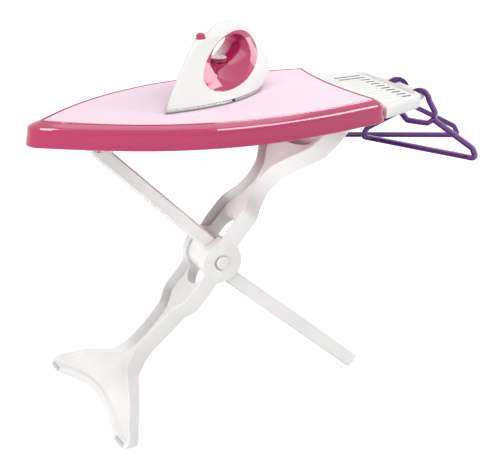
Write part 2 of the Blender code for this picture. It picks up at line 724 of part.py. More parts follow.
def build_rest(shell):
    def ring(inset, z=None):
        outline = rest_outline(inset)
        return [Vector((x, y, ridge_top(x) if z is None else z)) for x, y in outline]

    rest = loft("iron_rest", [
        ring(REST_WALL, REST_TOP - REST_WALL),
        ring(REST_WALL, REST_BOTTOM),
        ring(0.0, REST_BOTTOM),
        ring(0.0, REST_TOP - REST_EDGE),
        ring(REST_EDGE * 0.25, REST_TOP - REST_EDGE * 0.3),
        ring(REST_EDGE * 0.8),
        ring(REST_RIDGE_WIDTH - REST_RIDGE_SLOPE),
        ring(REST_RIDGE_WIDTH, REST_TOP)], ROOT, WHITE)
    end = REST_BACK_X - SLOT_SETBACK
    middle = (SLOT_COUNT - 1) / 2
    slots, grooves = [], []
    for i in range(SLOT_COUNT):
        y = (i - middle) * SLOT_PITCH
        low, high = y - SLOT_WIDTH / 2, y + SLOT_WIDTH / 2
        length = GROOVE_LENGTH if i >= SLOT_COUNT - LONG_SLOT_COUNT else SLOT_LENGTH
        above = (end, high, REST_TOP + REST_EDGE)
        slots.append(((end - length, low, REST_BOTTOM + REST_WALL), above))
        grooves.append(((end - GROOVE_LENGTH, low, REST_TOP - GROOVE_DEPTH), above))
    boolean(rest, boxes("rest_grooves", grooves, ROOT))
    boolean(rest, boxes("rest_slots", slots, ROOT))
    r = RAIL_CORNER_RADIUS
    centre = (RAIL_X - r, RAIL_HALF_WIDTH - r)
    half = [(RAIL_X, 0.0)] + arc(centre, r, 0, 90, 7) + [(REST_BACK_X - REST_WALL, RAIL_HALF_WIDTH)]
    path = [(x, -y, RAIL_Z) for x, y in reversed(half[1:])] + [(x, y, RAIL_Z) for x, y in half]
    boolean(rest, tube("hanger_rail", path, RAIL_RADIUS, ROOT), "UNION")
    seat_z = (REST_BOTTOM + REST_TOP - REST_WALL) / 2
    seat = RIM_SHOULDER - SHELL_WALL - SCREW_HEAD_HEIGHT - JOINT_GAP / 2
    places = [(back_edge_x(y) + seat, y, seat_z) for y in REST_SCREW_Y]
    grip = SHELL_WALL + RIM_DRAFT + 2 * JOINT_GAP
    holes = screws("rest_screw", places, (1, 0, 0), grip, REST_WALL + SCREW_BITE, ROOT)
    boolean(rest, holes)
    boolean(shell, holes)


# Main leg with its fishtail foot

def smooth_max(a, b, blend):
    """The larger value, with the corner between the two rounded."""
    near = max(0.0, 1 - abs(a - b) / blend)
    return max(a, b) + near * near * blend / 4


def leg_half_width(t):
    hub, half_hub = LEG_HUB_HALF_WIDTH, LEG_HUB_HALF_LENGTH
    flare = LEG_TOP_HALF_WIDTH - LEG_UPPER_NECK
    keys = [(FLOOR_T + FOOT_FLARE_LENGTH * up, FOOT_HALF_SPREAD * share) for up, share in FOOT_FLARE]
    taper = half_hub + LEG_HUB_TAPER
    keys += [(FLOOR_T + FOOT_NECK, LEG_LOWER_NECK), (-taper, LEG_LOWER_NECK + LEG_NECK_FILL),
             (-half_hub, hub), (half_hub, hub), (taper, LEG_UPPER_NECK + LEG_NECK_FILL),
             (HINGE_T - UPPER_NECK_BELOW_HINGE, LEG_UPPER_NECK)]
    keys += [(HINGE_T - EAR_FLARE_LENGTH * below, LEG_UPPER_NECK + flare * share)
             for below, share in EAR_FLARE]
    return eased(keys, t)


def leg_middle(t):
    """Height of the leg's middle above its straight line through the pivot."""
    low, high = -LEG_LOWER_DROP, LEG_UPPER_RAISE
    return eased([(FLOOR_T - FOOT_BELOW, FOOT_TIP_RAISE), (FLOOR_T + FOOT_THIN_END, FOOT_RAISE),
                  (FLOOR_T + FOOT_THICK_START, FOOT_NECK_RAISE), (-LEG_HUB_HALF_LENGTH - LEG_HUB_TAPER, low),
                  (LEG_RAISE_START, low), (LEG_RAISE_END, high), (LEG_TOP_T, high)], t)


def leg_half_depth(t):
    return eased([(FLOOR_T + FOOT_THIN_END, FOOT_DEPTH / 2), (FLOOR_T + FOOT_THICK_START, LEG_DEPTH / 2)], t)


def cheek_height(t):
    """Half height of the round cheeks at the pivot."""
    return math.sqrt(max(0.0, CHEEK_RADIUS ** 2 - t * t))


def leg_top(t):
    return smooth_max(leg_middle(t) + leg_half_depth(t), cheek_height(t), CHEEK_BLEND)


def leg_bottom(t):
    return -smooth_max(leg_half_depth(t) - leg_middle(t), cheek_height(t), CHEEK_BLEND)


def recess_floor(t):
    """Height of the recessed face between the rims."""
    depth = eased([(FLOOR_T + FOOT_THIN_END, FOOT_RECESS), (FLOOR_T + FOOT_THICK_START, LEG_RECESS)], t)
    return leg_top(t) - depth


def rim_width(t):
    return eased([(FLOOR_T + FOOT_THIN_END, FOOT_RIM), (FLOOR_T + FOOT_NECK, LEG_RIM)], t)


def leg_stations(start, end):
    """Places along the leg, closer together at the foot and at the pivot."""
    places = [start]
    while places[-1] < end - LEG_FINE_STEP:
        t = places[-1]
        curved = t < FLOOR_T + FOOT_NECK or abs(t) < LEG_HUB_HALF_LENGTH
        places.append(t + (LEG_FINE_STEP if curved else LEG_COARSE_STEP))
    places[-1] = end
    return places


def leg_loft(name, start, end, inset, low, high, look=None):
    """A run of the leg's own sections, narrower by the inset, between two heights."""
    rings = []
    for t in leg_stations(start, end):
        half = leg_half_width(t) - inset(t)
        rings.append(section(t - HINGE_T, half, low(t) - HINGE_N, high(t) - HINGE_N, LEG_CORNER))
    return loft(name, rings, LEG_FRAME, look)


def window_outline():
    """Outline of the slot for the brace, along the leg."""
    half = BRACE_HALF_WIDTH + BRACE_SIDE_GAP
    top = (WINDOW_TOP - half - HINGE_T, 0.0)
    bottom = (WINDOW_BOTTOM + half - HINGE_T, 0.0)
    return arc(top, half, -90, 90, 13) + arc(bottom, half, 90, 270, 13)


def bay_outline():
    """The round bay in the end of the web, between the ears."""
    angles = [math.tau * i / MAIN_SIDES for i in range(MAIN_SIDES)]
    return [(WEB_OPEN_T - HINGE_T + WEB_BAY_LENGTH * math.cos(a), WEB_BAY_HALF_WIDTH * math.sin(a))
            for a in angles]


def arch_outline(shift):
    """The hollow between the foot's two tips, open towards the floor."""
    count = 17
    wide = FOOT_HALF_SPREAD * 1.1
    top = FLOOR_T + FOOT_ARCH + shift - HINGE_T
    points = []
    for i in range(count):
        y = wide * (2 * i / (count - 1) - 1)
        points.append((top - FOOT_ARCH_DEPTH * (abs(y) / FOOT_ARCH_HALF_WIDTH) ** FOOT_ARCH_POWER, y))
    below = FLOOR_T - FOOT_HALF_SPREAD - HINGE_T
    return points + [(below, wide), (below, -wide)]


def build_main_leg(hinge_bore):
    deep = 2 * LEG_DEPTH + 2 * CHEEK_RADIUS
    start, end = FLOOR_T - FOOT_BELOW, LEG_TOP_T
    leg = leg_loft("main_leg", start, end, lambda t: 0.0, leg_bottom, leg_top, WHITE)
    foot_rim = plate("foot_rim", arch_outline(FOOT_RIM), deep, Matrix.Identity(4), LEG_FRAME)
    lower = leg_loft("lower_recess", FLOOR_T + FOOT_RECESS_START, -CHEEK_SOLID, rim_width,
                     recess_floor, lambda t: deep)
    boolean(lower, foot_rim)
    boolean(leg, lower)
    boolean(leg, leg_loft("upper_recess", CHEEK_SOLID, WEB_OPEN_T + LEG_CORNER, rim_width,
                          recess_floor, lambda t: deep))
    boolean(leg, leg_loft("ear_gap", WEB_OPEN_T, LEG_TOP_T + LEG_RIM, rim_width,
                          lambda t: -deep, lambda t: deep))
    boolean(leg, plate("web_bay", bay_outline(), deep, Matrix.Identity(4), LEG_FRAME))
    boolean(leg, plate("window", window_outline(), deep, Matrix.Identity(4), LEG_FRAME))
    boolean(leg, plate("foot_arch", arch_outline(0.0), deep, Matrix.Identity(4), LEG_FRAME))
    hub = Vector((-HINGE_T, 0.0, -HINGE_N))
    outer = LEG_HUB_HALF_WIDTH
    out = Vector((0.0, outer + PIN_RADIUS, 0.0))
    boolean(leg, round_bars("pin_bore", [(hub - out, hub + out, PIN_RADIUS + RUNNING_GAP)], LEG_FRAME))
    boolean(leg, hinge_bore)
    wide = 2 * FOOT_HALF_SPREAD
    floor = boxes("leg_floor_cut", [((-wide, -wide, -wide), (PIVOT_X, wide, PAD_PROUD))], ROOT)
    boolean(leg, floor)
    build_pin(hub, outer)
    build_pads(leg)


def build_pin(hub, outer):
    """The pin through both legs, with a head on the near side and a pressed cap on the far one."""
    face = outer + GAP
    far = face + PIN_HEAD_HEIGHT
    head = PIN_HEAD_RADIUS
    dome = [(0.0, far), (head * PIN_FLAT, far), (head, face + PIN_CROWN), (head, face)]
    place = Matrix.Translation(hub) @ along((0, -1, 0))
    end = far - PIN_SHORT
    turned("pivot_pin", dome + [(PIN_RADIUS, face), (PIN_RADIUS, -end), (0.0, -end)], place, LEG_FRAME, WHITE)
    cap = turned("pivot_cap", dome + [(0.0, face)], Matrix.Translation(hub) @ along((0, 1, 0)),
                 LEG_FRAME, WHITE)
    well = [(hub, hub + Vector((0, end + GAP, 0)), PIN_RADIUS + GAP)]
    boolean(cap, round_bars("cap_well", well, LEG_FRAME))


def build_pads(leg):
    """Grip pads let into the underside of the two foot tips."""
    x = PIVOT_X + FLOOR_T * math.cos(LEG_SLOPE) - PAD_SETBACK
    y = FOOT_HALF_SPREAD - PAD_TIP_INSET
    for side, name in ((-1, "foot_pad_near"), (1, "foot_pad_far")):
        low = Vector((x - PAD_WIDTH / 2, side * y - PAD_LENGTH / 2, 0.0))
        high = Vector((x + PAD_WIDTH / 2, side * y + PAD_LENGTH / 2, PAD_HEIGHT))
        pad = boxes(name, [(low, high)], ROOT, GREY)
        pad.parent = LEG_FRAME
        pad.matrix_parent_inverse = LEG_FRAME.matrix_local.inverted()
        rounding = pad.modifiers.new("round", "BEVEL")
        rounding.width = PAD_EDGE
        rounding.segments = 2
        grow = Vector((GAP, GAP, GAP))
        boolean(leg, boxes(name + "_pocket", [(low - grow, high + grow)], ROOT))


# Brace leg

def brace_middle(x):
    """The upper half lies above the pivot and the lower half below it."""
    half = BRACE_DEPTH / 2
    return abs(x) * math.tan(BRACE_BEND) + eased([(-BRACE_STEP, half), (BRACE_STEP, -half)], x)


def brace_half_width(x):
    share = max(0.0, (x - BRACE_FLARE_START) / (BRACE_FOOT_END - BRACE_FLARE_START))
    return BRACE_HALF_WIDTH + (BRACE_FOOT_HALF_WIDTH - BRACE_HALF_WIDTH) * share


def brace_stations():
    """Places along the brace, with the share of its depth there: the upper end is round."""
    half = BRACE_DEPTH / 2
    angles = [math.radians(a) for a in (82, 65, 45, 22)]
    round_end = [(PEG_LOCAL_X - half * math.sin(a), math.cos(a)) for a in angles]
    hub = [BRACE_HUB_SOLID * i / 4 for i in range(-4, 5)]
    inner = [PEG_LOCAL_X, PEG_LOCAL_X / 2] + hub
    outer = [BRACE_FLARE_START, BRACE_FOOT_END / 2, BRACE_FOOT_END]
    return round_end + [(x, 1.0) for x in inner + outer]


def build_brace():
    half = BRACE_DEPTH / 2
    rings = []
    for x, share in brace_stations():
        low, high = brace_middle(x) - half * share, brace_middle(x) + half * share
        rings.append(section(x, brace_half_width(x), low, high, BRACE_CORNER))
    brace = loft("brace_leg", rings, BRACE_FRAME, WHITE)
    y = BRACE_HALF_WIDTH
    hub = [((0, -y, 0), (0, y, 0), BRACE_HUB_RADIUS)]
    boolean(brace, round_bars("brace_hub", hub, BRACE_FRAME), "UNION")
    upper = ("upper", PEG_LOCAL_X + BRACE_PEG_SOLID, -BRACE_HUB_SOLID)
    lower = ("lower", BRACE_HUB_SOLID, BRACE_FOOT_END - BRACE_FOOT_WALL)
    for name, start, end in (upper, lower):
        rings = []
        for i in range(4):
            x = start + (end - start) * i / 3
            roof = brace_middle(x) + half - BRACE_WALL
            inside = brace_half_width(x) - BRACE_WALL
            rings.append(section(x, inside, roof - 2 * BRACE_DEPTH, roof, BRACE_CORNER))
        boolean(brace, loft("brace_channel_" + name, rings, BRACE_FRAME))
    bore = [((0, -2 * y, 0), (0, 2 * y, 0), PIN_RADIUS + RUNNING_GAP)]
    boolean(brace, round_bars("brace_bore", bore, BRACE_FRAME))
    wide = 2 * BRACE_FOOT_END
    boolean(brace, boxes("brace_floor_cut", [((PIVOT_X, -wide, -wide), (PIVOT_X + wide, wide, 0.0))], ROOT))
    reach = BRACE_HALF_WIDTH + CATCH_CHEEK_GAP + CATCH_CHEEK_THICKNESS
    peg = Vector((PEG_LOCAL_X, 0, PEG_LOCAL_Z))
    out = Vector((0, reach, 0))
    round_bars("track_peg", [(peg - out, peg + out, PEG_RADIUS)], BRACE_FRAME, STEEL, metallic=1.0)
    out *= 1.2
    boolean(brace, round_bars("peg_bore", [(peg - out, peg + out, PEG_RADIUS + GAP)], BRACE_FRAME))


# Hangers

def corner_path(points, radius, steps=5):
    """A path through the points with each inner corner rounded to the radius."""
    path = [Vector(points[0])]
    for before, here, after in zip(points, points[1:], points[2:]):
        before, here, after = Vector(before), Vector(here), Vector(after)
        into, out = (here - before), (after - here)
        turn = into.angle(out)
        reach = min(radius * math.tan(turn / 2), into.length * 0.48, out.length * 0.48)
        start = here - into.normalized() * reach
        end = here + out.normalized() * reach
        for i in range(steps):
            u = i / (steps - 1)
            path.append(start.lerp(here, u).lerp(here.lerp(end, u), u))
    path.append(Vector(points[-1]))
    return path


def build_hanger(name, parent):
    """Hook, sloping stem and a closed loop of shoulders and bar, in the XZ plane of its frame."""
    neck = -HANGER_NECK_DROP
    shoulder = HANGER_HALF_LENGTH - HANGER_END_SLOPE
    foot = HANGER_HALF_LENGTH + HANGER_END_SLOPE
    corners = [(x, neck + up) for x, up in HANGER_NECK]
    corners += [(-shoulder, -HANGER_SHOULDER_DROP), (-foot, -HANGER_BAR_DROP)]
    corners += [(foot, -HANGER_BAR_DROP), (shoulder, -HANGER_SHOULDER_DROP)]
    corners += [(x, neck + up) for x, up in HANGER_STEM_SIDE]
    loop = corner_path([(x, 0.0, z) for x, z in corners], HANGER_CORNER_RADIUS)[1:-1]
    hanger = tube(name, loop, HANGER_ROD_RADIUS, parent, PURPLE, closed=True, resolution=1)
    hook = [(x, 0.0, z) for x, z in arc((0, 0), HOOK_RADIUS, HOOK_TIP_ANGLE, HOOK_STEM_ANGLE, 12)]
    bend = (STEM_BEND[0], 0.0, neck + STEM_BEND[1])
    stem = corner_path([hook[-1], bend, (STEM_FOOT[0], 0.0, neck + STEM_FOOT[1])], STEM_RADIUS)
    thin = HANGER_ROD_RADIUS - RUNNING_GAP
    boolean(hanger, tube(name + "_hook", hook + stem[1:], thin, parent, resolution=1), "UNION")


# Toy iron

def iron_front(h):
    """Where the front edge of the body lies at a height above the cover."""
    if h > COLUMN_TOP:
        return HANDLE_FRONT_S + (h - COLUMN_TOP) * HANDLE_FRONT_SLOPE
    return eased(IRON_FRONT, h)


def iron_ring(h, grow=0.0):
    """A level slice: pointed in front, blunter towards the top, round behind."""
    front = iron_front(h) - grow * IRON_TIP_GROWTH
    back = IRON_HEEL_S - eased(IRON_TAIL, h) + grow
    wide = IRON_HALF_WIDTH - eased(IRON_NARROWING, h) + grow
    sharp = eased(IRON_SHARPNESS, h)
    count = 14
    near = []
    for i in range(count + 1):
        f = 0.5 - 0.5 * math.cos(math.pi * i / count)
        if f <= IRON_WIDEST:
            share = math.sin(math.pi / 2 * f / IRON_WIDEST) ** sharp
        else:
            past = (f - IRON_WIDEST) / (1 - IRON_WIDEST)
            share = max(0.0, 1 - past ** HEEL_BLUNTNESS) ** (1 / HEEL_BLUNTNESS)
        near.append((front + (back - front) * f, wide * share))
    ring = [(s, -v) for s, v in near] + [(s, v) for s, v in reversed(near[1:-1])]
    return [Vector((s, v, h)) for s, v in ring]


def egg(centre_s, centre_h, half_length, half_height, v, grow=0.0):
    """Egg outline of the handle opening, blunt at the tail, in the plane at side distance v."""
    points = []
    for i in range(28):
        a = math.tau * i / 28
        lean = 1 + OPENING_LEAN * math.cos(a)
        rise = (half_height + grow) * math.sin(a) * lean
        reach = (half_length + grow) * math.cos(a) + OPENING_SLANT * rise
        points.append(Vector((centre_s + reach, v, centre_h + rise)))
    return points


def opening_ring(v, grow=0.0):
    return egg(OPENING_S, OPENING_HEIGHT, OPENING_HALF_LENGTH, OPENING_HALF_HEIGHT, v, grow)


def iron_body(name, grow, low, high, look=None):
    inside = [h for h in IRON_LEVELS if low + SOLE_EDGE < h < high - SOLE_EDGE]
    return loft(name, [iron_ring(h, grow) for h in [low] + inside + [high]], IRON_FRAME, look)


def build_iron():
    loft("soleplate", [iron_ring(GAP, -SOLE_BEVEL), iron_ring(GAP + SOLE_BEVEL, SOLE_EDGE),
                       iron_ring(SOLE_HEIGHT, SOLE_EDGE)], IRON_FRAME, GREY)
    levels = [IRON_HOLLOW_TOP * i / 4 for i in range(5)]
    hollow = loft("iron_hollow", [iron_ring(h, -IRON_WALL) for h in levels], IRON_FRAME)
    wide = 1.5 * IRON_HALF_WIDTH
    opening = loft("iron_opening", [opening_ring(-wide), opening_ring(wide)], IRON_FRAME)
    well = round_bars("button_well", [
        ((BUTTON_S, 0, BUTTON_WELL_FLOOR), (BUTTON_S, 0, IRON_HEIGHT), BUTTON_RADIUS + GAP)], IRON_FRAME)
    stem = round_bars("button_stem_hole", [
        ((BUTTON_S, 0, IRON_HOLLOW_TOP - IRON_WALL), (BUTTON_S, 0, COLUMN_TOP), BUTTON_STEM_RADIUS + GAP)],
        IRON_FRAME)
    head = IRON_SCREW_GRIP + SCREW_HEAD_HEIGHT
    places = [Vector((s, head, h)) for s, h in zip(IRON_SCREW_S, IRON_SCREW_HEIGHT)]
    holes = screws("iron_screw", places, (0, -1, 0), IRON_SCREW_GRIP, IRON_SCREW_BITE, IRON_FRAME)
    inward = Vector((0, SCREW_HEAD_HEIGHT + GAP, 0))
    outward = Vector((0, IRON_HALF_WIDTH, 0))
    recesses = round_bars("screw_recesses", [
        (place + outward, place - inward, SCREW_HEAD_RADIUS + GAP) for place in places],
        IRON_FRAME, sides=SMALL_SIDES)
    for name, side in (("iron_shell_near", -1), ("iron_shell_far", 1)):
        half = iron_body(name, 0.0, SOLE_HEIGHT + GAP, IRON_HEIGHT, WHITE)
        low, high = sorted((side * GAP / 2, -side * wide))
        reach = 2 * IRON_HEEL_S
        other = boxes(name + "_side", [((-reach, low, -reach), (reach, high, reach))], IRON_FRAME)
        for tool in (hollow, opening, well, stem, holes):
            boolean(half, tool)
        if side > 0:
            boolean(half, recesses)
        boolean(half, other)
    build_liner(wide)
    build_dial()
    build_button()


def build_liner(wide):
    """The pink lining of the handle opening, narrow at the middle and flared to both sides."""
    liner = loft("iron_liner", [opening_ring(-wide, -GAP), opening_ring(wide, -GAP)], IRON_FRAME, PINK)
    boolean(liner, iron_body("liner_limit", -GAP, SOLE_HEIGHT, IRON_HEIGHT - GAP), "INTERSECT")
    rings = []
    for station in LINER_STATIONS:
        flare = min(1.0, abs(station)) ** WAIST_FLARE
        mix = [a + (b - a) * flare for a, b in (
            (WAIST_S, OPENING_S), (WAIST_HEIGHT, OPENING_HEIGHT),
            (WAIST_HALF_LENGTH, OPENING_HALF_LENGTH - LINER_RIM),
            (WAIST_HALF_HEIGHT, OPENING_HALF_HEIGHT - LINER_RIM))]
        rings.append(egg(*mix, station * LINER_REACH))
    boolean(liner, loft("liner_waist", rings, IRON_FRAME))
    bottom = DIAL_TOP - DIAL_HEIGHT
    boolean(liner, round_bars("dial_pocket", [
        ((DIAL_S, 0, bottom - JOINT_GAP / 2), (DIAL_S, 0, DIAL_TOP + DIAL_HEIGHT), DIAL_RADIUS + JOINT_GAP)],
        IRON_FRAME))
    boolean(liner, round_bars("dial_spindle_hole", [
        ((DIAL_S, 0, bottom - DIAL_SPINDLE_LENGTH - JOINT_GAP / 2), (DIAL_S, 0, bottom + JOINT_GAP),
         DIAL_SPINDLE_RADIUS + RUNNING_GAP)], IRON_FRAME))


def build_dial():
    """Toothed dial on its own spindle."""
    outline = []
    for i in range(DIAL_TEETH * 2):
        radius = DIAL_RADIUS - DIAL_TOOTH * (i % 2)
        a = math.tau * (i + 0.5) / (DIAL_TEETH * 2)
        outline.append((radius * math.cos(a), radius * math.sin(a)))
    middle = Matrix.Translation((0, 0, -DIAL_HEIGHT / 2))
    dial = plate("iron_dial", outline, DIAL_HEIGHT, middle, DIAL_FRAME, WHITE)
    low = -DIAL_HEIGHT - DIAL_SPINDLE_LENGTH
    spindle = [((0, 0, low), (0, 0, -DIAL_HEIGHT / 2), DIAL_SPINDLE_RADIUS)]
    boolean(dial, round_bars("dial_spindle", spindle, DIAL_FRAME), "UNION")


def build_button():
    """Domed cap with a hollow skirt, and a stem whose foot keeps it in the column."""
    top = BUTTON_TOP - BUTTON_WELL_FLOOR
    skirt = BUTTON_TRAVEL + GAP
    r = BUTTON_RADIUS
    inner = r - BUTTON_WALL
    roof = top - BUTTON_ROOF
    stem_end = IRON_HOLLOW_TOP - BUTTON_WELL_FLOOR - GAP
    foot = BUTTON_STEM_RADIUS + BUTTON_FOOT
    profile = [(r * share, top - drop) for share, drop in BUTTON_DOME]
    profile += [(r, skirt), (inner, skirt), (inner, roof), (BUTTON_STEM_RADIUS, roof)]
    profile += [(BUTTON_STEM_RADIUS, stem_end), (foot, stem_end)]
    profile += [(foot, stem_end - BUTTON_FOOT), (0.0, stem_end - BUTTON_FOOT)]
    turned("iron_button", profile, Matrix.Identity(4), BUTTON_FRAME, PINK, 24)
    low = BUTTON_WELL_FLOOR + GAP + SPRING_WIRE / 2
    high = BUTTON_WELL_FLOOR + roof - GAP - SPRING_WIRE / 2
    steps = SPRING_CURLS * SPRING_CURL_POINTS
    path = []
    for i in range(steps + 1):
        a = math.tau * i / SPRING_CURL_POINTS
        path.append((BUTTON_S + SPRING_RADIUS * math.cos(a), SPRING_RADIUS * math.sin(a),
                     low + (high - low) * i / steps))
    tube("button_spring", path, SPRING_WIRE / 2, IRON_FRAME, STEEL, resolution=1)
    print("button spring least gap between curls: %.4f m" % ((high - low) / SPRING_CURLS - SPRING_WIRE))


# Assembly

def shift_to_middle():
    """Moves the root so that the object's middle along X is at the origin."""
    bpy.context.view_layer.update()
    graph = bpy.context.evaluated_depsgraph_get()
    reach = []
    for obj in PARTS.objects:
        if obj.type != "MESH":
            continue
        solid = obj.evaluated_get(graph)
        reach += [(solid.matrix_world @ vertex.co).x for vertex in solid.data.vertices]
    ROOT.location.x = -(min(reach) + max(reach)) / 2
    bpy.context.view_layer.update()
    print("shift along X: %.5f m" % ROOT.location.x)


clear_scene()
PARTS = new_collection("toy_ironing_board")
CUTTERS = new_collection("cutters")
ROOT = frame("board_frame", (0, 0, 0))
LEG_FRAME = frame("main_leg_hinge", (HINGE_X, 0, HINGE_Z), Matrix.Rotation(-LEG_SLOPE, 4, "Y"), ROOT)
BRACE_FRAME = frame("brace_pivot", (PIVOT_X, 0, PIVOT_Z), Matrix.Rotation(BRACE_SLOPE, 4, "Y"), ROOT)
IRON_FRAME = frame("iron_base", (IRON_TIP_X, IRON_TIP_Y, BOARD_TOP),
                   Matrix.Rotation(IRON_YAW, 4, "Z"), ROOT)
DIAL_FRAME = frame("dial_axis", (DIAL_S, 0, DIAL_TOP), None, IRON_FRAME)
BUTTON_FRAME = frame("button_axis", (BUTTON_S, 0, BUTTON_WELL_FLOOR), None, IRON_FRAME)

HOOK_Z = RAIL_Z + RAIL_RADIUS + GAP - (HOOK_RADIUS - HANGER_ROD_RADIUS)
NEAR_CORNER = (RAIL_X - RAIL_CORNER_RADIUS, -RAIL_HALF_WIDTH + RAIL_CORNER_RADIUS)
NEAR_HOOK = (NEAR_CORNER[0] + RAIL_CORNER_RADIUS * math.cos(NEAR_HANGER_YAW),
             NEAR_CORNER[1] + RAIL_CORNER_RADIUS * math.sin(NEAR_HANGER_YAW), HOOK_Z)
NEAR_FRAME = frame("hanger_near_hook", NEAR_HOOK, Matrix.Rotation(NEAR_HANGER_YAW, 4, "Z"), ROOT)
FAR_FRAME = frame("hanger_far_hook", (RAIL_X, FAR_HANGER_Y, HOOK_Z),
                  Matrix.Rotation(FAR_HANGER_YAW, 4, "Z"), ROOT)

SHELL = build_board()
build_main_leg(build_hinge(SHELL))
build_catch(SHELL)
build_rest(SHELL)
build_brace()
build_iron()
build_hanger("hanger_near", NEAR_FRAME)
build_hanger("hanger_far", FAR_FRAME)
shift_to_middle()
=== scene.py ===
"""Looks of the toy ironing board: finishes, cover cloth, moulded shells and ribbed hangers."""

import json
import math

import bmesh
import bpy
from mathutils import Matrix, Vector


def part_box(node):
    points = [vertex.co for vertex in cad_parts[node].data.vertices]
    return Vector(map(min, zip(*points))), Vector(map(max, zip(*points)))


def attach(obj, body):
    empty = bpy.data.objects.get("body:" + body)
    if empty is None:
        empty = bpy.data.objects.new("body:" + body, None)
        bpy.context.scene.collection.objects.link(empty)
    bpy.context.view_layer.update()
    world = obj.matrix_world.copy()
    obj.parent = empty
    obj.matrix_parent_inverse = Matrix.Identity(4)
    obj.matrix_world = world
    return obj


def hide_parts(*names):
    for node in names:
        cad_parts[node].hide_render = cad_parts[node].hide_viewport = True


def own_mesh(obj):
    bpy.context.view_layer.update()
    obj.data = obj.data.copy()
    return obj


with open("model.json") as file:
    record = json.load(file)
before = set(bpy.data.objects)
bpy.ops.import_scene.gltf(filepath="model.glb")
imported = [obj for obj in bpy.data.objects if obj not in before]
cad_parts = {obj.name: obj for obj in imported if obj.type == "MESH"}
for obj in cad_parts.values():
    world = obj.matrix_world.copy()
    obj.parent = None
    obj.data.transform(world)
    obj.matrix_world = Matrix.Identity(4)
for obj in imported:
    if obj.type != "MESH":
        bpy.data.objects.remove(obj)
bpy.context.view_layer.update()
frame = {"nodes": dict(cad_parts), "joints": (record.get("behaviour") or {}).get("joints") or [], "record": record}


def joint(name):
    return next(found for found in frame["joints"] if found["name"] == name)


# Building coordinates start on the floor below the nose of the cover
HINGE_FROM_NOSE = 0.4231
NOSE = Vector((joint("leg_fold")["pos_m"][0] - HINGE_FROM_NOSE, 0.0, 0.0))
HINGE = Vector(joint("leg_fold")["pos_m"]) - NOSE
PIVOT = Vector(joint("brace_fold")["pos_m"]) - NOSE
BOARD_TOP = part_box("cover")[1][2]
GAP = 0.0003

# Board, at the solids' sizes
COVER_LENGTH = 0.455
COVER_HALF_WIDTH = 0.126
COVER_WIDEST_X = 0.291
COVER_BACK_HALF_WIDTH = 0.107
COVER_BACK_SAG = 0.010
COVER_THICKNESS = 0.0025
NOSE_RADIUS = 0.003
BACK_CORNER_RADIUS = 0.004
NOSE_HALF_ANGLE = math.radians(44)
NOSE_RIM_GROWTH = 0.55
NOSE_RIM_REACH = 0.09
NOSE_PULL = 0.27
SIDE_PULL = 0.52
BACK_PULL = 0.45
BACK_MEET = 0.25
BACK_FLARE = 0.005
RIM_OUT = 0.016
CORNER_ARC = (75, 12)

# Soft edge of the cover: share of the outline, and depth under the cover's top
COVER_EDGE = ((1.0, COVER_THICKNESS), (1.0, 0.0014), (0.998, 0.0006), (0.994, 0.0001))
COVER_FLAT = 0.98
COVER_MIDDLE_X = COVER_LENGTH * 0.58
COVER_CLEARANCE = GAP * 1.5

# Rim section in millimetres: outward from the cover's edge, and down from the cover's top
RIM_SECTION = (
    (0.0, 2.8), (0.0, 0.3), (0.2, -0.25), (0.6, -0.55), (1.1, -0.6), (1.45, -0.5), (1.6, -0.35),
    (1.65, -0.29), (2.3, 0.45), (2.36, 0.52), (2.55, 0.78), (2.9, 1.0), (3.5, 1.2), (4.6, 1.65),
    (6.5, 2.6), (9.0, 4.1), (10.9, 5.3), (11.3, 5.73), (11.45, 5.9), (12.85, 7.5), (12.98, 7.66),
    (13.35, 8.5), (13.55, 10.0), (14.0, 14.0), (14.8, 22.0), (15.6, 29.4), (15.9, 30.6), (15.85, 31.4),
    (15.3, 32.0), (13.9, 32.0), (13.1, 31.6), (12.9, 30.5), (10.9, 14.0), (9.6, 11.4), (6.0, 8.8),
    (-0.5, 6.3))
MILLIMETRE = 0.001

# Iron rest: the solid's plan and top, with deeper sides, a closed underside and wider slits
REST_TOP = BOARD_TOP - 0.0125
REST_BOTTOM = REST_TOP - 0.0180
REST_BACK_X = COVER_LENGTH + 0.102
REST_FRONT_GAP = 0.001
REST_FRONT_HALF_WIDTH = 0.112
REST_BACK_HALF_WIDTH = 0.088
REST_CORNER_RADIUS = 0.022
REST_CORNER_SHRINK = 0.6
REST_CORNER_TURN = 72
REST_RIDGE_RISE = 0.0042
REST_RIDGE_WIDTH = 0.010
REST_RIDGE_FALL = 0.004
REST_WALL = 0.003
REST_FLOOR = 0.002
REST_SKIN = 0.0007
SLOT_COUNT = 11
LONG_SLOT_COUNT = 2
SLOT_PITCH = 0.0142
SLOT_WIDTH = 0.0056
SLOT_LENGTH = 0.016
GROOVE_LENGTH = 0.048
GROOVE_DEPTH = 0.0005
SLOT_SETBACK = 0.015
GROOVE_TOOL_HALF = 0.004
SLIT_TOOL_HALF = 0.010
RAIL_RADIUS = 0.0055
RAIL_X = REST_BACK_X + 0.019
RAIL_HALF_WIDTH = 0.058
RAIL_CORNER_RADIUS = 0.014
RAIL_Z = REST_TOP - 0.008

# Rounded edges of the rest: inset from the outline, and depth under the ridge or height above the bottom
REST_EDGE = ((0.0, 0.0095), (0.0, 0.0072), (0.0005, 0.0047), (0.0018, 0.0025), (0.0036, 0.0009),
             (0.0056, 0.0001))
REST_FOOT = ((0.0042, 0.0), (0.0022, 0.0004), (0.0008, 0.0016), (0.0001, 0.0034))

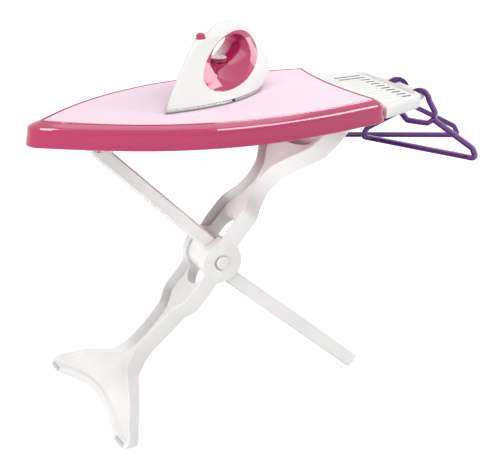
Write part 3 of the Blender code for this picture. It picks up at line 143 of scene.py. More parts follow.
# Main leg, along its own length from the pivot: the solid's form, with thinner rims and foot tips
LEG_LEAN = math.radians(1.245)
LEG_DEPTH = 0.027
LEG_RIM = 0.0038
LEG_RECESS = 0.0095
LEG_ROUNDING = 0.0018
LEG_TOP_OVERHANG = 0.0106
LEG_TOP_HALF_WIDTH = 0.086
EAR_THICKNESS = 0.006
LEG_HUB_HALF_WIDTH = 0.038
LEG_HUB_HALF_LENGTH = 0.074
LEG_HUB_TAPER = 0.031
LEG_NECK = 0.0165
LEG_NECK_FILL = 0.0045
LEG_UPPER_RAISE = 0.013
LEG_LOWER_DROP = 0.0035
LEG_RAISE_START = -0.050
LEG_RAISE_END = 0.045
CHEEK_RADIUS = 0.031
CHEEK_BLEND = 0.012
CHEEK_SOLID = 0.030
WINDOW_TOP = 0.066
WINDOW_BOTTOM = -0.052
WINDOW_HALF_WIDTH = 0.0242
WEB_OPEN = 0.0394
WEB_BAY_LENGTH = 0.022
WEB_BAY_HALF_WIDTH = 0.060
UPPER_NECK_BELOW_HINGE = 0.1364
EAR_FLARE_LENGTH = 0.1154
# Keys of the flares: share of the flare's length, and share of its width
EAR_FLARE = ((1.0, 0.065), (0.75, 0.396), (0.42, 0.914), (0.14, 1.0))
FOOT_HALF_SPREAD = 0.1534
FOOT_FLARE_LENGTH = 0.072
FOOT_FLARE = ((-0.325, 0.90), (-0.17, 0.985), (-0.055, 1.0), (0.085, 0.945), (0.265, 0.81),
              (0.485, 0.667), (0.78, 0.405), (1.0, 0.21))
FOOT_NECK = 0.105
FOOT_BELOW = 0.0234
FOOT_DEPTH = 0.0140
FOOT_THIN_END = 0.033
FOOT_THICK_START = 0.085
FOOT_TIP_HALF_DEPTH = 0.0045
FOOT_TIP_RAISE = 0.0120
FOOT_RAISE = 0.0125
FOOT_NECK_RAISE = 0.0035
FOOT_RECESS = 0.0032
FOOT_RECESS_START = -0.008
FOOT_RIM = 0.009
FOOT_ARCH = 0.0096
FOOT_ARCH_DEPTH = 0.031
FOOT_ARCH_HALF_WIDTH = 0.140
FOOT_ARCH_POWER = 1.8
ARCH_TOOL_REACH = FOOT_HALF_SPREAD * 1.1
RECESS_WALL = 0.0014
RIM_EASE = 0.0006
CHANNEL_SHARE = 0.75
CHANNEL_WIDTH = 0.0040
CHANNEL_LIP = 0.0012
CHANNEL_SLOPE = 0.0050
CHANNEL_START = 0.065
CHANNEL_FULL = 0.105
RECESS_END = 0.008
ARCH_WALL = 0.0035
POCKET_TOP = 0.0275
POCKET_END = 0.068
POCKET_WALL = 0.0025
STATION_FINE = 0.002
STATION_COARSE = 0.004
STATION_LAST = 0.003
PIN_SEAT_RADIUS = 0.0114
PIN_SEAT_DEPTH = 0.0030
PIN_SEAT_SHIFT = 0.0015
PIN_RADIUS = 0.00512
ROD_RADIUS = 0.00312
PAD_PROUD = 0.0025
BRACKET_PLATE = 0.005
CATCH_FRONT = 0.024
CATCH_LIP = 0.0085
CATCH_LIP_BEVEL = 0.002
CATCH_HEEL_BEVEL = 0.004
CATCH_SLOT = 0.0045
CATCH_CHEEK = 0.006
RISE = HINGE.z - PIVOT.z
SPREAD = HINGE.x - PIVOT.x
LEG_SLOPE = math.atan2(RISE, SPREAD) - LEG_LEAN
LEG_PLACE = Matrix.Translation(PIVOT) @ Matrix.Rotation(-LEG_SLOPE, 4, "Y")
HINGE_T = SPREAD * math.cos(LEG_SLOPE) + RISE * math.sin(LEG_SLOPE)
FLOOR_T = -PIVOT.z / math.sin(LEG_SLOPE)
LEG_TOP_T = HINGE_T + LEG_TOP_OVERHANG
WEB_OPEN_T = HINGE_T - WEB_OPEN

# Toy iron: the solids' outer form, along the iron from its tip, and up from the cover
IRON_TIP = Vector((0.160, -0.048, BOARD_TOP))
IRON_YAW = math.radians(32)
IRON_PLACE = Matrix.Translation(IRON_TIP) @ Matrix.Rotation(IRON_YAW, 4, "Z")
IRON_HEEL_S = 0.243
IRON_HALF_WIDTH = 0.047
IRON_HEIGHT = 0.1015
IRON_WIDEST = 0.62
HEEL_BLUNTNESS = 2.8
SOLE_HEIGHT = 0.0048
SOLE_EDGE = 0.0015
SOLE_NOTCH = ((0.0975, -0.060, 0.0018), (0.1035, -0.0395, 0.0060))
IRON_TIP_GROWTH = 1.6
IRON_WALL = 0.003
IRON_HOLLOW_TOP = 0.074
IRON_TOOL_REACH = 1.5 * IRON_HALF_WIDTH
COLUMN_TOP = 0.088
COLUMN_ROUNDING = 0.0025
HANDLE_FRONT_S = 0.0975
HANDLE_FRONT_SLOPE = 2.0
HANDLE_START = COLUMN_TOP + 0.0001
# Handle opening and its narrow middle: centre along the iron, centre height, half length, half height
OPENING = (0.1346, 0.0526, 0.0617, 0.0355)
WAIST = (0.134, 0.0665, 0.040, 0.0180)
OPENING_SLANT = 0.81
OPENING_LEAN = -0.14
EGG_SIDES = 120
LINER_RIM = 0.0016
LINER_REACH = 0.043
LINER_PAST = 1.35
WAIST_FLARE = 1.7
DIAL_S = 0.132
DIAL_RADIUS = 0.0125
DIAL_HEIGHT = 0.0075
DIAL_TOP = 0.0545
DIAL_TEETH = 26
DIAL_TOOTH = 0.0010
DIAL_TOOTH_POINTS = 4
DIAL_CAP = 0.0014
DIAL_CAP_INSET = 0.0002
DIAL_SPINDLE_RADIUS = 0.003
DIAL_SPINDLE_LENGTH = 0.006
JOINT_GAP = 0.001
RUNNING_GAP = 0.00012
BUTTON_S = 0.0875
BUTTON_WELL_RADIUS = 0.0071
BUTTON_WELL_FLOOR = 0.0805
BUTTON_STEM_RADIUS = 0.0028
BUTTON_FOOT_ROOM = 0.0045
BUTTON_TRAVEL = 0.0035
SPRING_WIRE = 0.0009
SPRING_RADIUS = 0.0040
SPRING_CURLS = 5
SPRING_CURL_POINTS = 24
IRON_SCREWS = ((0.106, 0.0855), (0.133, 0.0945), (0.160, 0.0960))
SCREW_RECESS_RADIUS = 0.0037
SCREW_RECESS_FLOOR = 0.0037
# Keys over the height: setback of the front and of the tail, loss of half width, and bluntness in front
IRON_FRONT = ((0.0, 0.0), (0.040, 0.025), (0.0635, 0.047), (0.081, 0.067), (0.088, 0.0735))
IRON_TAIL = ((0.0, 0.036), (0.020, 0.0035), (0.034, 0.0), (0.058, 0.011), (0.078, 0.026),
             (0.092, 0.045), (0.1015, 0.070))
IRON_NARROWING = ((0.0, 0.0), (0.020, 0.004), (0.050, 0.017), (0.075, 0.030), (0.092, 0.035),
                  (0.1015, 0.041))
IRON_SHARPNESS = ((0.0, 0.92), (0.050, 0.80), (0.075, 0.48), (0.088, 0.34))

# Edge sections of the iron: depth under the top or height above the sole, and growth of the outline
IRON_TOP_ROUNDING = ((0.0022, 0.0), (0.0012, -0.0006), (0.0005, -0.0014), (0.0001, -0.0024),
                     (0.0, -0.0034))
SOLE_SECTION = ((0.0, -0.0010), (0.0004, 0.0002), (0.0010, 0.0010), (0.0018, SOLE_EDGE),
                (0.0036, SOLE_EDGE), (0.0042, 0.0011), (SOLE_HEIGHT - GAP, 0.0002))

# Edge sections of the dial: height from its top, and inset from its radius
DIAL_RING_SECTION = ((-DIAL_HEIGHT, 0.0008), (0.0006 - DIAL_HEIGHT, 0.0), (-DIAL_CAP - 0.0004, 0.0),
                     (-DIAL_CAP, 0.0003))
DIAL_CAP_SECTION = ((-DIAL_CAP, 0.0004), (0.0004 - DIAL_CAP, 0.0), (-0.0009, 0.0), (-0.0003, 0.0003),
                    (0.0, 0.0010), (0.0, 0.0020), (-0.0005, 0.0030))
DIAL_DISH_DEPTH = 0.0006
DIAL_DISH_RADIUS = 0.002

# Hangers: the solids' centre line, with a ribbed section across the rod in its plane and out of it
HOOK_RADIUS = 0.0155
HANGER_HALF_LENGTH = 0.0945
HANGER_BAR_DROP = 0.073
HANGER_SHOULDER_DROP = 0.0585
HANGER_CORNER_RADIUS = 0.0075
HANGER_NECK_DROP = 0.0325
HANGER_END_SLOPE = 0.0035
HOOK_TIP_ANGLE = 150
HOOK_STEM_ANGLE = 8
STEM_BEND = (0.0275, 0.0165)
STEM_FOOT = (0.0235, 0.0065)
STEM_RADIUS = 0.02
STEM_THINNING = 0.97
# Rounding of the hook's tip: distance past its end, and scale of the section
HOOK_TIP = ((0.0012, 0.9), (0.0021, 0.68), (0.0026, 0.35))
CORNER_SHARE = 0.48
HANGER_NECK = ((0.0, -0.001), (-0.020, -0.0015), (-0.033, 0.0105))
HANGER_STEM_SIDE = ((0.024, 0.007), (0.016, 0.0), (0.0, -0.001))
HANGER_YAW = {"near": math.radians(-64), "far": math.radians(-28)}
FLANGE_OUTER = 0.0037
FLANGE_INNER = 0.0020
FLANGE_HALF = 0.0032
FLANGE_EDGE = 0.0006
WEB_HALF = 0.0005
WEB_FILLET = (0.0004, 0.0003)
WEB_START = 0.0009
RIB_PITCH = 0.0045
RIB_LEAN = 0.0040
RIB_HALF = 0.0007
RIB_SINK = 0.0006
TIP_CLEAR = 0.012


# Materials, with scales of noise per metre and depths in metres

GLAZED = {"Coat_Weight": 1.0, "Coat_Roughness": 0.03, "Specular_IOR_Level": 0.2}
FINE_GRAIN = 0.00002
SOFT_GRAIN = 0.00003
RAMP_STOPS = (0.3, 0.7)
SOFT_EDGE = 0.0009
SOFT_EDGE_SHARE = 0.06
SHARP_ANGLE = 38


def grey(value):
    return (value, value, value)


def set_sockets(node, **values):
    """Plain values for a shader node's sockets, named with _ for each space."""
    for socket, value in values.items():
        node.inputs[socket.replace("_", " ")].default_value = value


def add_node(tree, kind, **values):
    made = tree.nodes.new("ShaderNode" + kind)
    set_sockets(made, **values)
    return made


def shader_of(name, colour, roughness, **sockets):
    """A new material with a Principled shader."""
    made = bpy.data.materials.new(name)
    made.use_nodes = True
    shader = made.node_tree.nodes["Principled BSDF"]
    set_sockets(shader, Base_Color=(*colour, 1.0), Roughness=roughness, **sockets)
    return made, made.node_tree, shader


def noise(tree, scale, detail, stretch=(1, 1, 1)):
    """Noise over the object's own coordinates, in metres."""
    place = add_node(tree, "TexCoord")
    shape = add_node(tree, "Mapping", Scale=stretch)
    grain = add_node(tree, "TexNoise", Scale=scale, Detail=detail)
    tree.links.new(place.outputs["Object"], shape.inputs["Vector"])
    tree.links.new(shape.outputs["Vector"], grain.inputs["Vector"])
    return grain.outputs["Fac"]


def paint(tree, shader, value, low, high):
    """Colours the surface between two colours, as the value goes from low to high."""
    made = add_node(tree, "ValToRGB")
    for stop, place, colour in zip(made.color_ramp.elements, RAMP_STOPS, (low, high)):
        stop.position = place
        stop.color = (*colour, 1.0)
    tree.links.new(value, made.inputs["Fac"])
    tree.links.new(made.outputs["Color"], shader.inputs["Base Color"])


def roughen(tree, shader, value, low, high):
    """Varies the roughness between two numbers by the value."""
    made = add_node(tree, "MapRange", To_Min=low, To_Max=high)
    tree.links.new(value, made.inputs["Value"])
    tree.links.new(made.outputs["Result"], shader.inputs["Roughness"])


def bump(tree, shader, height, strength, distance):
    made = add_node(tree, "Bump", Strength=strength, Distance=distance)
    tree.links.new(height, made.inputs["Height"])
    tree.links.new(made.outputs["Normal"], shader.inputs["Normal"])


def shade(colour, factor):
    return tuple(min(1.0, value * factor) for value in colour)


def moulded_plastic(name, colour, roughness, grain_depth, **sockets):
    """Injection-moulded plastic: slight flow in the colour, and a faint unevenness in the gloss."""
    made, tree, shader = shader_of(name, colour, roughness, **sockets)
    flow = noise(tree, scale=18.0, detail=2.0)
    paint(tree, shader, flow, low=shade(colour, 0.96), high=shade(colour, 1.03))
    fine = noise(tree, scale=420.0, detail=4.0)
    roughen(tree, shader, fine, low=roughness * 0.8, high=roughness * 1.25)
    bump(tree, shader, noise(tree, scale=900.0, detail=2.0), strength=0.12, distance=grain_depth)
    return made


def cover_cloth():
    """Pale woven cotton, with threads both ways and a soft uneven tone."""
    made, tree, shader = shader_of("cover_cloth", (0.875, 0.69, 0.785), 0.85, Sheen_Weight=0.25,
                                   Sheen_Roughness=0.5)
    tone = noise(tree, scale=160.0, detail=6.0)
    paint(tree, shader, tone, low=(0.86, 0.665, 0.765), high=(0.89, 0.715, 0.805))
    place = add_node(tree, "TexCoord")
    weave = add_node(tree, "Math")
    weave.operation = "MULTIPLY"
    for thread, direction in enumerate(("X", "Y")):
        wave = add_node(tree, "TexWave", Scale=520.0, Distortion=1.2)
        wave.bands_direction = direction
        tree.links.new(place.outputs["Object"], wave.inputs["Vector"])
        tree.links.new(wave.outputs["Fac"], weave.inputs[thread])
    bump(tree, shader, weave.outputs["Value"], strength=0.35, distance=0.0002)
    return made


def steel():
    """Plated steel with fine brushing."""
    made, tree, shader = shader_of("plated_steel", (0.62, 0.62, 0.64), 0.3, Metallic=1.0)
    brushed = noise(tree, scale=300.0, detail=3.0, stretch=(1, 1, 12))
    roughen(tree, shader, brushed, low=0.22, high=0.4)
    return made


def pad_rubber():
    """Grey rubber with a fine speck."""
    made, tree, shader = shader_of("pad_rubber", grey(0.60), 0.8)
    speck = noise(tree, scale=700.0, detail=4.0)
    paint(tree, shader, speck, low=grey(0.56), high=grey(0.64))
    bump(tree, shader, speck, strength=0.3, distance=0.0002)
    return made


SLOT_LOOKS = {
    "pink_plastic": moulded_plastic("pink_plastic", (0.435, 0.017, 0.104), 0.25, FINE_GRAIN, **GLAZED),
    "white_plastic": moulded_plastic("white_plastic", (0.80, 0.795, 0.785), 0.34, SOFT_GRAIN),
    "purple_plastic": moulded_plastic("purple_plastic", (0.120, 0.020, 0.215), 0.25, FINE_GRAIN, **GLAZED),
    "sole_grey": moulded_plastic("sole_grey", grey(0.45), 0.22, FINE_GRAIN, Metallic=0.85),
    "cover_cloth": cover_cloth(),
    "steel": steel(),
    "pad_rubber": pad_rubber()}


def finish_nodes():
    """Gives every solid its slot's finish and softened edges."""
    slots = {part["node"]: part["material_slot"] for part in frame["record"]["subparts"]}
    for name, node in frame["nodes"].items():
        node.data.materials.clear()
        node.data.materials.append(SLOT_LOOKS[slots[name]])
        size = min(high - low for low, high in zip(*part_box(name)))
        edge = node.modifiers.new("soft_edges", "BEVEL")
        edge.width = min(SOFT_EDGE, size * SOFT_EDGE_SHARE)
        edge.segments = 2
        edge.limit_method = "ANGLE"
        edge.angle_limit = math.radians(SHARP_ANGLE)
        edge.harden_normals = True
        node.data.shade_smooth()


# Builders

def add_object(name, data):
    obj = bpy.data.objects.new(name, data)
    bpy.context.scene.collection.objects.link(obj)
    return obj


def piece(name, mesh, slot, body, nodes, sharp=SHARP_ANGLE):
    """A new object on a body, in building coordinates, which stands for the named solids."""
    mesh.transform(Matrix.Translation(NOSE))
    obj = add_object(name, mesh)
    mesh.materials.clear()
    mesh.materials.append(SLOT_LOOKS[slot])
    mesh.shade_smooth()
    mesh.set_sharp_from_angle(angle=math.radians(sharp))
    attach(obj, body)
    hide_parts(*nodes)
    return obj


def mesh_from(bm, name, place=None):
    bmesh.ops.recalc_face_normals(bm, faces=bm.faces)
    mesh = bpy.data.meshes.new(name)
    bm.to_mesh(mesh)
    bm.free()
    if place:
        mesh.transform(place)
    return mesh


def loft(name, rings, place=None, closed=False):
    """A solid through rings of equally many points, closed in a loop or with flat ends."""
    bm = bmesh.new()
    loops = [[bm.verts.new(point) for point in ring] for ring in rings]
    count = len(loops[0])
    following = loops[1:] + loops[:1] if closed else loops[1:]
    for low, high in zip(loops, following):
        for i in range(count):
            j = (i + 1) % count
            bm.faces.new((low[i], low[j], high[j], high[i]))
    if not closed:
        bm.faces.new(loops[0])
        bm.faces.new(loops[-1])
    return mesh_from(bm, name, place)


def level(outline, z):
    """A plane outline at one height."""
    return [Vector((x, y, z)) for x, y in outline]


def prism(name, outline, half_depth, place=None):
    """A flat outline in the XY plane, thick on both sides of it."""
    return loft(name, [level(outline, z) for z in (-half_depth, half_depth)], place)


def block(name, low, high, place=None):
    corners = [(low[0], low[1]), (high[0], low[1]), (high[0], high[1]), (low[0], high[1])]
    return loft(name, [level(corners, z) for z in (low[2], high[2])], place)


def rod(name, start, end, radius, place=None, sides=48):
    start, end = Vector(start), Vector(end)
    turn = Vector((0, 0, 1)).rotation_difference(end - start).to_matrix().to_4x4()
    middle = Matrix.Translation((start + end) / 2)
    bm = bmesh.new()
    bmesh.ops.create_cone(bm, cap_ends=True, segments=sides, radius1=radius, radius2=radius,
                          depth=(end - start).length, matrix=middle @ turn)
    return mesh_from(bm, name, place)


def carve(mesh, tools, operation="DIFFERENCE"):
    """The mesh after the same boolean step with each tool mesh."""
    objects = [add_object(made.name, made) for made in [mesh] + tools]
    body = objects[0]
    for tool in objects[1:]:
        change = body.modifiers.new(tool.name, "BOOLEAN")
        change.operation = operation
        change.solver = "EXACT"
        change.object = tool
    bpy.context.view_layer.update()
    graph = bpy.context.evaluated_depsgraph_get()
    made = bpy.data.meshes.new_from_object(body.evaluated_get(graph))
    for obj in objects:
        bpy.data.objects.remove(obj, do_unlink=True)
    return made


def sweep(name, path, outline, across, closed=False, tips=()):
    """An outline of (in the path's plane, along its normal) carried along a plane path of points.

    Tips are (distance past the last point, scale) steps that round the free start of the path.
    """
    across = Vector(across)
    count = len(path)
    rings = []
    for i, here in enumerate(path):
        before = path[i - 1] if closed or i else here
        after = path[(i + 1) % count] if closed or i < count - 1 else here
        along = (after - before).normalized()
        side = across.cross(along)
        if i == 0 and tips:
            for distance, scale in reversed(tips):
                start = here - along * distance
                rings.append([start + (side * a + across * b) * scale for a, b in outline])
        rings.append([here + side * a + across * b for a, b in outline])
    return loft(name, rings, closed=closed)


def spaced(low, high, steps):
    """Evenly spaced values, both ends included."""
    return [low + (high - low) * (i / steps) for i in range(steps + 1)]


def both_sides(half):
    """A closed outline from one half, whose ends lie on the middle line."""
    return half + [(x, -y) for x, y in reversed(half[1:-1])]


def arc(centre, radius, start, end, count):
    """Points on an arc in the plane, both ends included, angles in degrees."""
    turns = [math.radians(angle) for angle in spaced(start, end, count - 1)]
    return [(centre[0] + radius * math.cos(a), centre[1] + radius * math.sin(a)) for a in turns]


def circle(radius, sides):
    return arc((0, 0), radius, 0, 360 - 360 / sides, sides)


def bezier(a, b, c, d, u):
    v = 1 - u
    return tuple(v ** 3 * p + 3 * v * v * u * q + 3 * v * u * u * r + u ** 3 * s
                 for p, q, r, s in zip(a, b, c, d))


def eased(keys, at):
    """A smooth value between given (place, value) keys, level at turning points."""
    if at <= keys[0][0]:
        return keys[0][1]
    if at >= keys[-1][0]:
        return keys[-1][1]
    index = max(i for i, key in enumerate(keys[:-1]) if key[0] <= at)

    def slope(i):
        if i in (0, len(keys) - 1):
            return 0.0
        before = (keys[i][1] - keys[i - 1][1]) / (keys[i][0] - keys[i - 1][0])
        after = (keys[i + 1][1] - keys[i][1]) / (keys[i + 1][0] - keys[i][0])
        if before * after <= 0:
            return 0.0
        return 2 * before * after / (before + after)

    (x0, y0), (x1, y1) = keys[index], keys[index + 1]
    span = x1 - x0
    u = (at - x0) / span
    ease = u * u * (3 - 2 * u)
    rise = slope(index) * span * u * (1 - u) ** 2 - slope(index + 1) * span * u * u * (1 - u)
    return y0 + (y1 - y0) * ease + rise


def ramped(distance, width):
    """Rises smoothly from 0 to 1 over a width."""
    u = min(1.0, max(0.0, distance / width))
    return u * u * (3 - 2 * u)


def smooth_max(a, b, blend):
    """The larger value, with the corner between the two rounded."""
    near = max(0.0, 1 - abs(a - b) / blend)
    return max(a, b) + near * near * blend / 4


# Board rim and cover

def back_edge_x(y):
    return COVER_LENGTH - COVER_BACK_SAG * (1 - (y / COVER_BACK_HALF_WIDTH) ** 2)


def cover_half_outline():
    """The +Y half of the cover's edge, from nose to back middle, finer than in the solids."""
    apex = NOSE_RADIUS / math.cos(NOSE_HALF_ANGLE)
    points = arc((apex, 0.0), NOSE_RADIUS, 180, 90 + math.degrees(NOSE_HALF_ANGLE), count=7)
    nose = points[-1]
    widest = (COVER_WIDEST_X, COVER_HALF_WIDTH)
    corner = (COVER_LENGTH, COVER_BACK_HALF_WIDTH)
    reach = COVER_WIDEST_X * NOSE_PULL
    leave = (nose[0] + reach * math.cos(NOSE_HALF_ANGLE), nose[1] + reach * math.sin(NOSE_HALF_ANGLE))
    arrive = (COVER_WIDEST_X * SIDE_PULL, COVER_HALF_WIDTH)
    points += [bezier(nose, leave, arrive, widest, u) for u in spaced(0, 1, steps=44)[1:]]
    rest = COVER_LENGTH - COVER_WIDEST_X
    pull = (COVER_WIDEST_X + rest * BACK_PULL, COVER_HALF_WIDTH)
    meet = (COVER_LENGTH - rest * BACK_MEET, COVER_BACK_HALF_WIDTH + BACK_FLARE)
    points += [bezier(widest, pull, meet, corner, u) for u in spaced(0, 1, steps=24)[1:-2]]
    r = BACK_CORNER_RADIUS
    points += arc((corner[0] - r, corner[1] - r), r, *CORNER_ARC, count=7)
    return points + [(back_edge_x(y), y) for y in spaced(COVER_BACK_HALF_WIDTH - r, 0, steps=24)[1:]]


OUTLINE = both_sides(cover_half_outline())


def board_ring(offset, z):
    """The cover's edge moved outwards, further at the nose, at one height."""
    ring = []
    for i, (x, y) in enumerate(OUTLINE):
        before, after = Vector(OUTLINE[i - 1]), Vector(OUTLINE[(i + 1) % len(OUTLINE)])
        tangent = (after - before).normalized()
        grow = offset * (1 + NOSE_RIM_GROWTH * max(0.0, 1 - x / NOSE_RIM_REACH) ** 2)
        ring.append(Vector((x - tangent.y * grow, y + tangent.x * grow, z)))
    return ring


def make_rim():
    rings = [board_ring(out * MILLIMETRE, BOARD_TOP - down * MILLIMETRE) for out, down in RIM_SECTION]
    piece("board_rim", loft("board_rim", rings), "pink_plastic", "board", ["board_shell"])


def make_cover():
    """The cloth stretched in the recess, with a soft edge."""
    middle = Vector((COVER_MIDDLE_X, 0.0, 0.0))
    edge = board_ring(-COVER_CLEARANCE, 0.0)
    steps = list(COVER_EDGE) + [(share, 0.0) for share in spaced(COVER_FLAT, 0, steps=24)[:-1]]
    rings = [[middle.lerp(point, share) + Vector((0, 0, BOARD_TOP - drop)) for point in edge]
             for share, drop in steps]
    cloth = piece("cover_sheet", loft("cover_sheet", rings), "cover_cloth", "board", ["cover"])


# Iron rest

def rest_outline(inset):
    """Plan of the rest: its front follows the board's hollow back, its rear corners are round."""
    front_y = REST_FRONT_HALF_WIDTH - inset
    back_y = REST_BACK_HALF_WIDTH - inset
    front_x = RIM_OUT + REST_FRONT_GAP + inset
    back_x = REST_BACK_X - inset
    r = REST_CORNER_RADIUS - inset * REST_CORNER_SHRINK
    half = [(back_edge_x(y) + front_x, y) for y in spaced(0, front_y, steps=12)]
    centre = (back_x - r, back_y - r)
    half += arc(centre, r, REST_CORNER_TURN, 0, count=17)
    half += [(back_x, y) for y in spaced(centre[1], 0, steps=6)[1:]]
    return both_sides(half)


def ridge_rise(x):
    """The ridge rises from the plate's level at the board to its full height behind."""
    start = COVER_LENGTH + RIM_OUT
    share = (x - start) / (REST_BACK_X - REST_RIDGE_WIDTH - start)
    return REST_RIDGE_RISE * min(1.0, max(0.0, share))


def slot_outline(y, length):
    """A slot with round ends, which reaches forward from the line where all slots end."""
    half = SLOT_WIDTH / 2
    end = REST_BACK_X - SLOT_SETBACK
    back = arc((end - half, y), half, -90, 90, count=7)
    return back + arc((end - length + half, y), half, 90, 270, count=7)


def slot_cuts():
    """A shallow groove at each slot, and the slit through the plate at its end."""
    cuts = []
    above = Matrix.Translation((0, 0, REST_TOP - GROOVE_DEPTH + GROOVE_TOOL_HALF))
    through = Matrix.Translation((0, 0, REST_TOP - 2 * REST_WALL + SLIT_TOOL_HALF))
    for i in range(SLOT_COUNT):
        y = (i - (SLOT_COUNT - 1) / 2) * SLOT_PITCH
        length = GROOVE_LENGTH if i >= SLOT_COUNT - LONG_SLOT_COUNT else SLOT_LENGTH
        cuts.append(prism("groove_%d" % i, slot_outline(y, GROOVE_LENGTH), GROOVE_TOOL_HALF, above))
        cuts.append(prism("slit_%d" % i, slot_outline(y, length), SLIT_TOOL_HALF, through))
    return cuts


def hanger_rail():
    """A round bar bent to a U behind the tray."""
    r = RAIL_CORNER_RADIUS
    half = [(RAIL_X, 0.0)] + arc((RAIL_X - r, RAIL_HALF_WIDTH - r), r, 0, 90, count=13)
    half.append((REST_BACK_X - REST_WALL, RAIL_HALF_WIDTH))
    path = level([(x, -y) for x, y in reversed(half[1:])] + half, RAIL_Z)
    return sweep("rail", path, circle(RAIL_RADIUS, sides=24), (0, 0, 1))


def make_rest():
    """The tray with its soft rim, slits and grooves, and the rail for the hangers."""
    def ridge(inset, drop=0.0, left=1.0):
        return [Vector((x, y, REST_TOP + ridge_rise(x) * left - drop)) for x, y in rest_outline(inset)]

    rings = [level(rest_outline(inset), REST_BOTTOM + up) for inset, up in REST_FOOT]
    rings += [ridge(inset, drop) for inset, drop in REST_EDGE]
    for fall in spaced(0, REST_RIDGE_FALL, steps=4):
        inset = REST_RIDGE_WIDTH - REST_RIDGE_FALL + fall
        rings.append(ridge(inset, left=1 - ramped(fall, REST_RIDGE_FALL)))
    tray = loft("rest_tray", rings)
    levels = (REST_BOTTOM + REST_FLOOR, REST_TOP - REST_SKIN)
    cavity = loft("cavity", [level(rest_outline(2 * REST_WALL), z) for z in levels])
    tray = carve(tray, [cavity] + slot_cuts())
    tray = carve(tray, [hanger_rail()], "UNION")
    piece("rest_tray", tray, "white_plastic", "board", ["iron_rest"])


# Main leg

def leg_half_width(t):
    hub, half_hub = LEG_HUB_HALF_WIDTH, LEG_HUB_HALF_LENGTH
    flare = LEG_TOP_HALF_WIDTH - LEG_NECK
    keys = [(FLOOR_T + FOOT_FLARE_LENGTH * up, FOOT_HALF_SPREAD * share) for up, share in FOOT_FLARE]
    taper, filled = half_hub + LEG_HUB_TAPER, LEG_NECK + LEG_NECK_FILL
    keys += [(FLOOR_T + FOOT_NECK, LEG_NECK), (-taper, filled), (-half_hub, hub), (half_hub, hub),
             (taper, filled), (HINGE_T - UPPER_NECK_BELOW_HINGE, LEG_NECK)]
    keys += [(HINGE_T - EAR_FLARE_LENGTH * below, LEG_NECK + flare * share) for below, share in EAR_FLARE]
    return eased(keys, t)


def leg_middle(t):
    """Height of the leg's middle above its straight line through the pivot."""
    low, high = -LEG_LOWER_DROP, LEG_UPPER_RAISE
    keys = [(FLOOR_T - FOOT_BELOW, FOOT_TIP_RAISE), (FLOOR_T + FOOT_THIN_END, FOOT_RAISE),
            (FLOOR_T + FOOT_THICK_START, FOOT_NECK_RAISE)]
    keys += [(-LEG_HUB_HALF_LENGTH - LEG_HUB_TAPER, low), (LEG_RAISE_START, low), (LEG_RAISE_END, high),
             (LEG_TOP_T, high)]
    return eased(keys, t)


def leg_half_depth(t):
    return eased([(FLOOR_T - FOOT_BELOW, FOOT_TIP_HALF_DEPTH), (FLOOR_T + FOOT_THIN_END, FOOT_DEPTH / 2),
                  (FLOOR_T + FOOT_THICK_START, LEG_DEPTH / 2)], t)


def cheek_height(t):
    """Half height of the round cheeks at the pivot."""
    return math.sqrt(max(0.0, CHEEK_RADIUS ** 2 - t * t))


def leg_top(t):
    return smooth_max(leg_middle(t) + leg_half_depth(t), cheek_height(t), CHEEK_BLEND)


def leg_bottom(t):
    return -smooth_max(leg_half_depth(t) - leg_middle(t), cheek_height(t), CHEEK_BLEND)


def rim_width(t):
    return eased([(FLOOR_T + FOOT_THIN_END, FOOT_RIM), (FLOOR_T + FOOT_NECK, LEG_RIM)], t)


def arch_edge(y):
    """How far up the leg the hollow between the foot's tips reaches."""
    return FLOOR_T + FOOT_ARCH - FOOT_ARCH_DEPTH * (abs(y) / FOOT_ARCH_HALF_WIDTH) ** FOOT_ARCH_POWER


def recess_depth(t, y):
    """Depth of the softly walled recess in the leg's upper face."""
    depth = eased([(FLOOR_T + FOOT_THIN_END, FOOT_RECESS), (FLOOR_T + FOOT_THICK_START, LEG_RECESS)], t)
    inset = leg_half_width(t) - rim_width(t) - abs(y)
    inside = ramped(inset, RECESS_WALL)
    channel = CHANNEL_SHARE * ramped(t - FLOOR_T - CHANNEL_START, CHANNEL_FULL - CHANNEL_START)
    depth *= 1 + channel * (1 - ramped(inset - CHANNEL_WIDTH, CHANNEL_SLOPE))
    foot = ramped(t - arch_edge(y) - FOOT_RIM, ARCH_WALL)
    ends = ramped(abs(t) - CHEEK_SOLID + RECESS_END / 2, RECESS_END)
    start = ramped(t - FLOOR_T - FOOT_RECESS_START, RECESS_END)
    return depth * inside * foot * ends * start


def leg_ring(t):
    """A section of the leg: plain below, with the recess in its upper face."""
    half, low, high = leg_half_width(t), leg_bottom(t), leg_top(t)
    r = min(LEG_ROUNDING, (high - low) / 3, half / 3)
    inner = half - rim_width(t)
    channel = inner - CHANNEL_WIDTH
    columns = [inner + RIM_EASE] + spaced(inner, inner - RECESS_WALL, steps=3)
    columns += [channel + CHANNEL_LIP] + spaced(channel, channel - CHANNEL_SLOPE, steps=4)
    floor = max(0.0, columns[-1])
    columns = [max(floor, y) for y in columns] + spaced(floor, 0, steps=14)[1:]
    across = columns + [-y for y in reversed(columns[:-1])]
    ring = arc((half - r, low + r), r, -90, 0, count=6) + arc((half - r, high - r), r, 0, 90, count=6)
    ring += [(y, high - recess_depth(t, y)) for y in across]
    ring += arc((r - half, high - r), r, 90, 180, count=6) + arc((r - half, low + r), r, 180, 270, count=6)
    return [Vector((t, y, z)) for y, z in ring]


def leg_stations():
    """Places along the leg, closer together at the foot and at the pivot."""
    places = [FLOOR_T - FOOT_BELOW]
    while places[-1] < LEG_TOP_T - STATION_LAST:
        t = places[-1]
        curved = t < FLOOR_T + FOOT_NECK or abs(t) < LEG_HUB_HALF_LENGTH
        places.append(t + (STATION_FINE if curved else STATION_COARSE))
    places[-1] = LEG_TOP_T
    return places


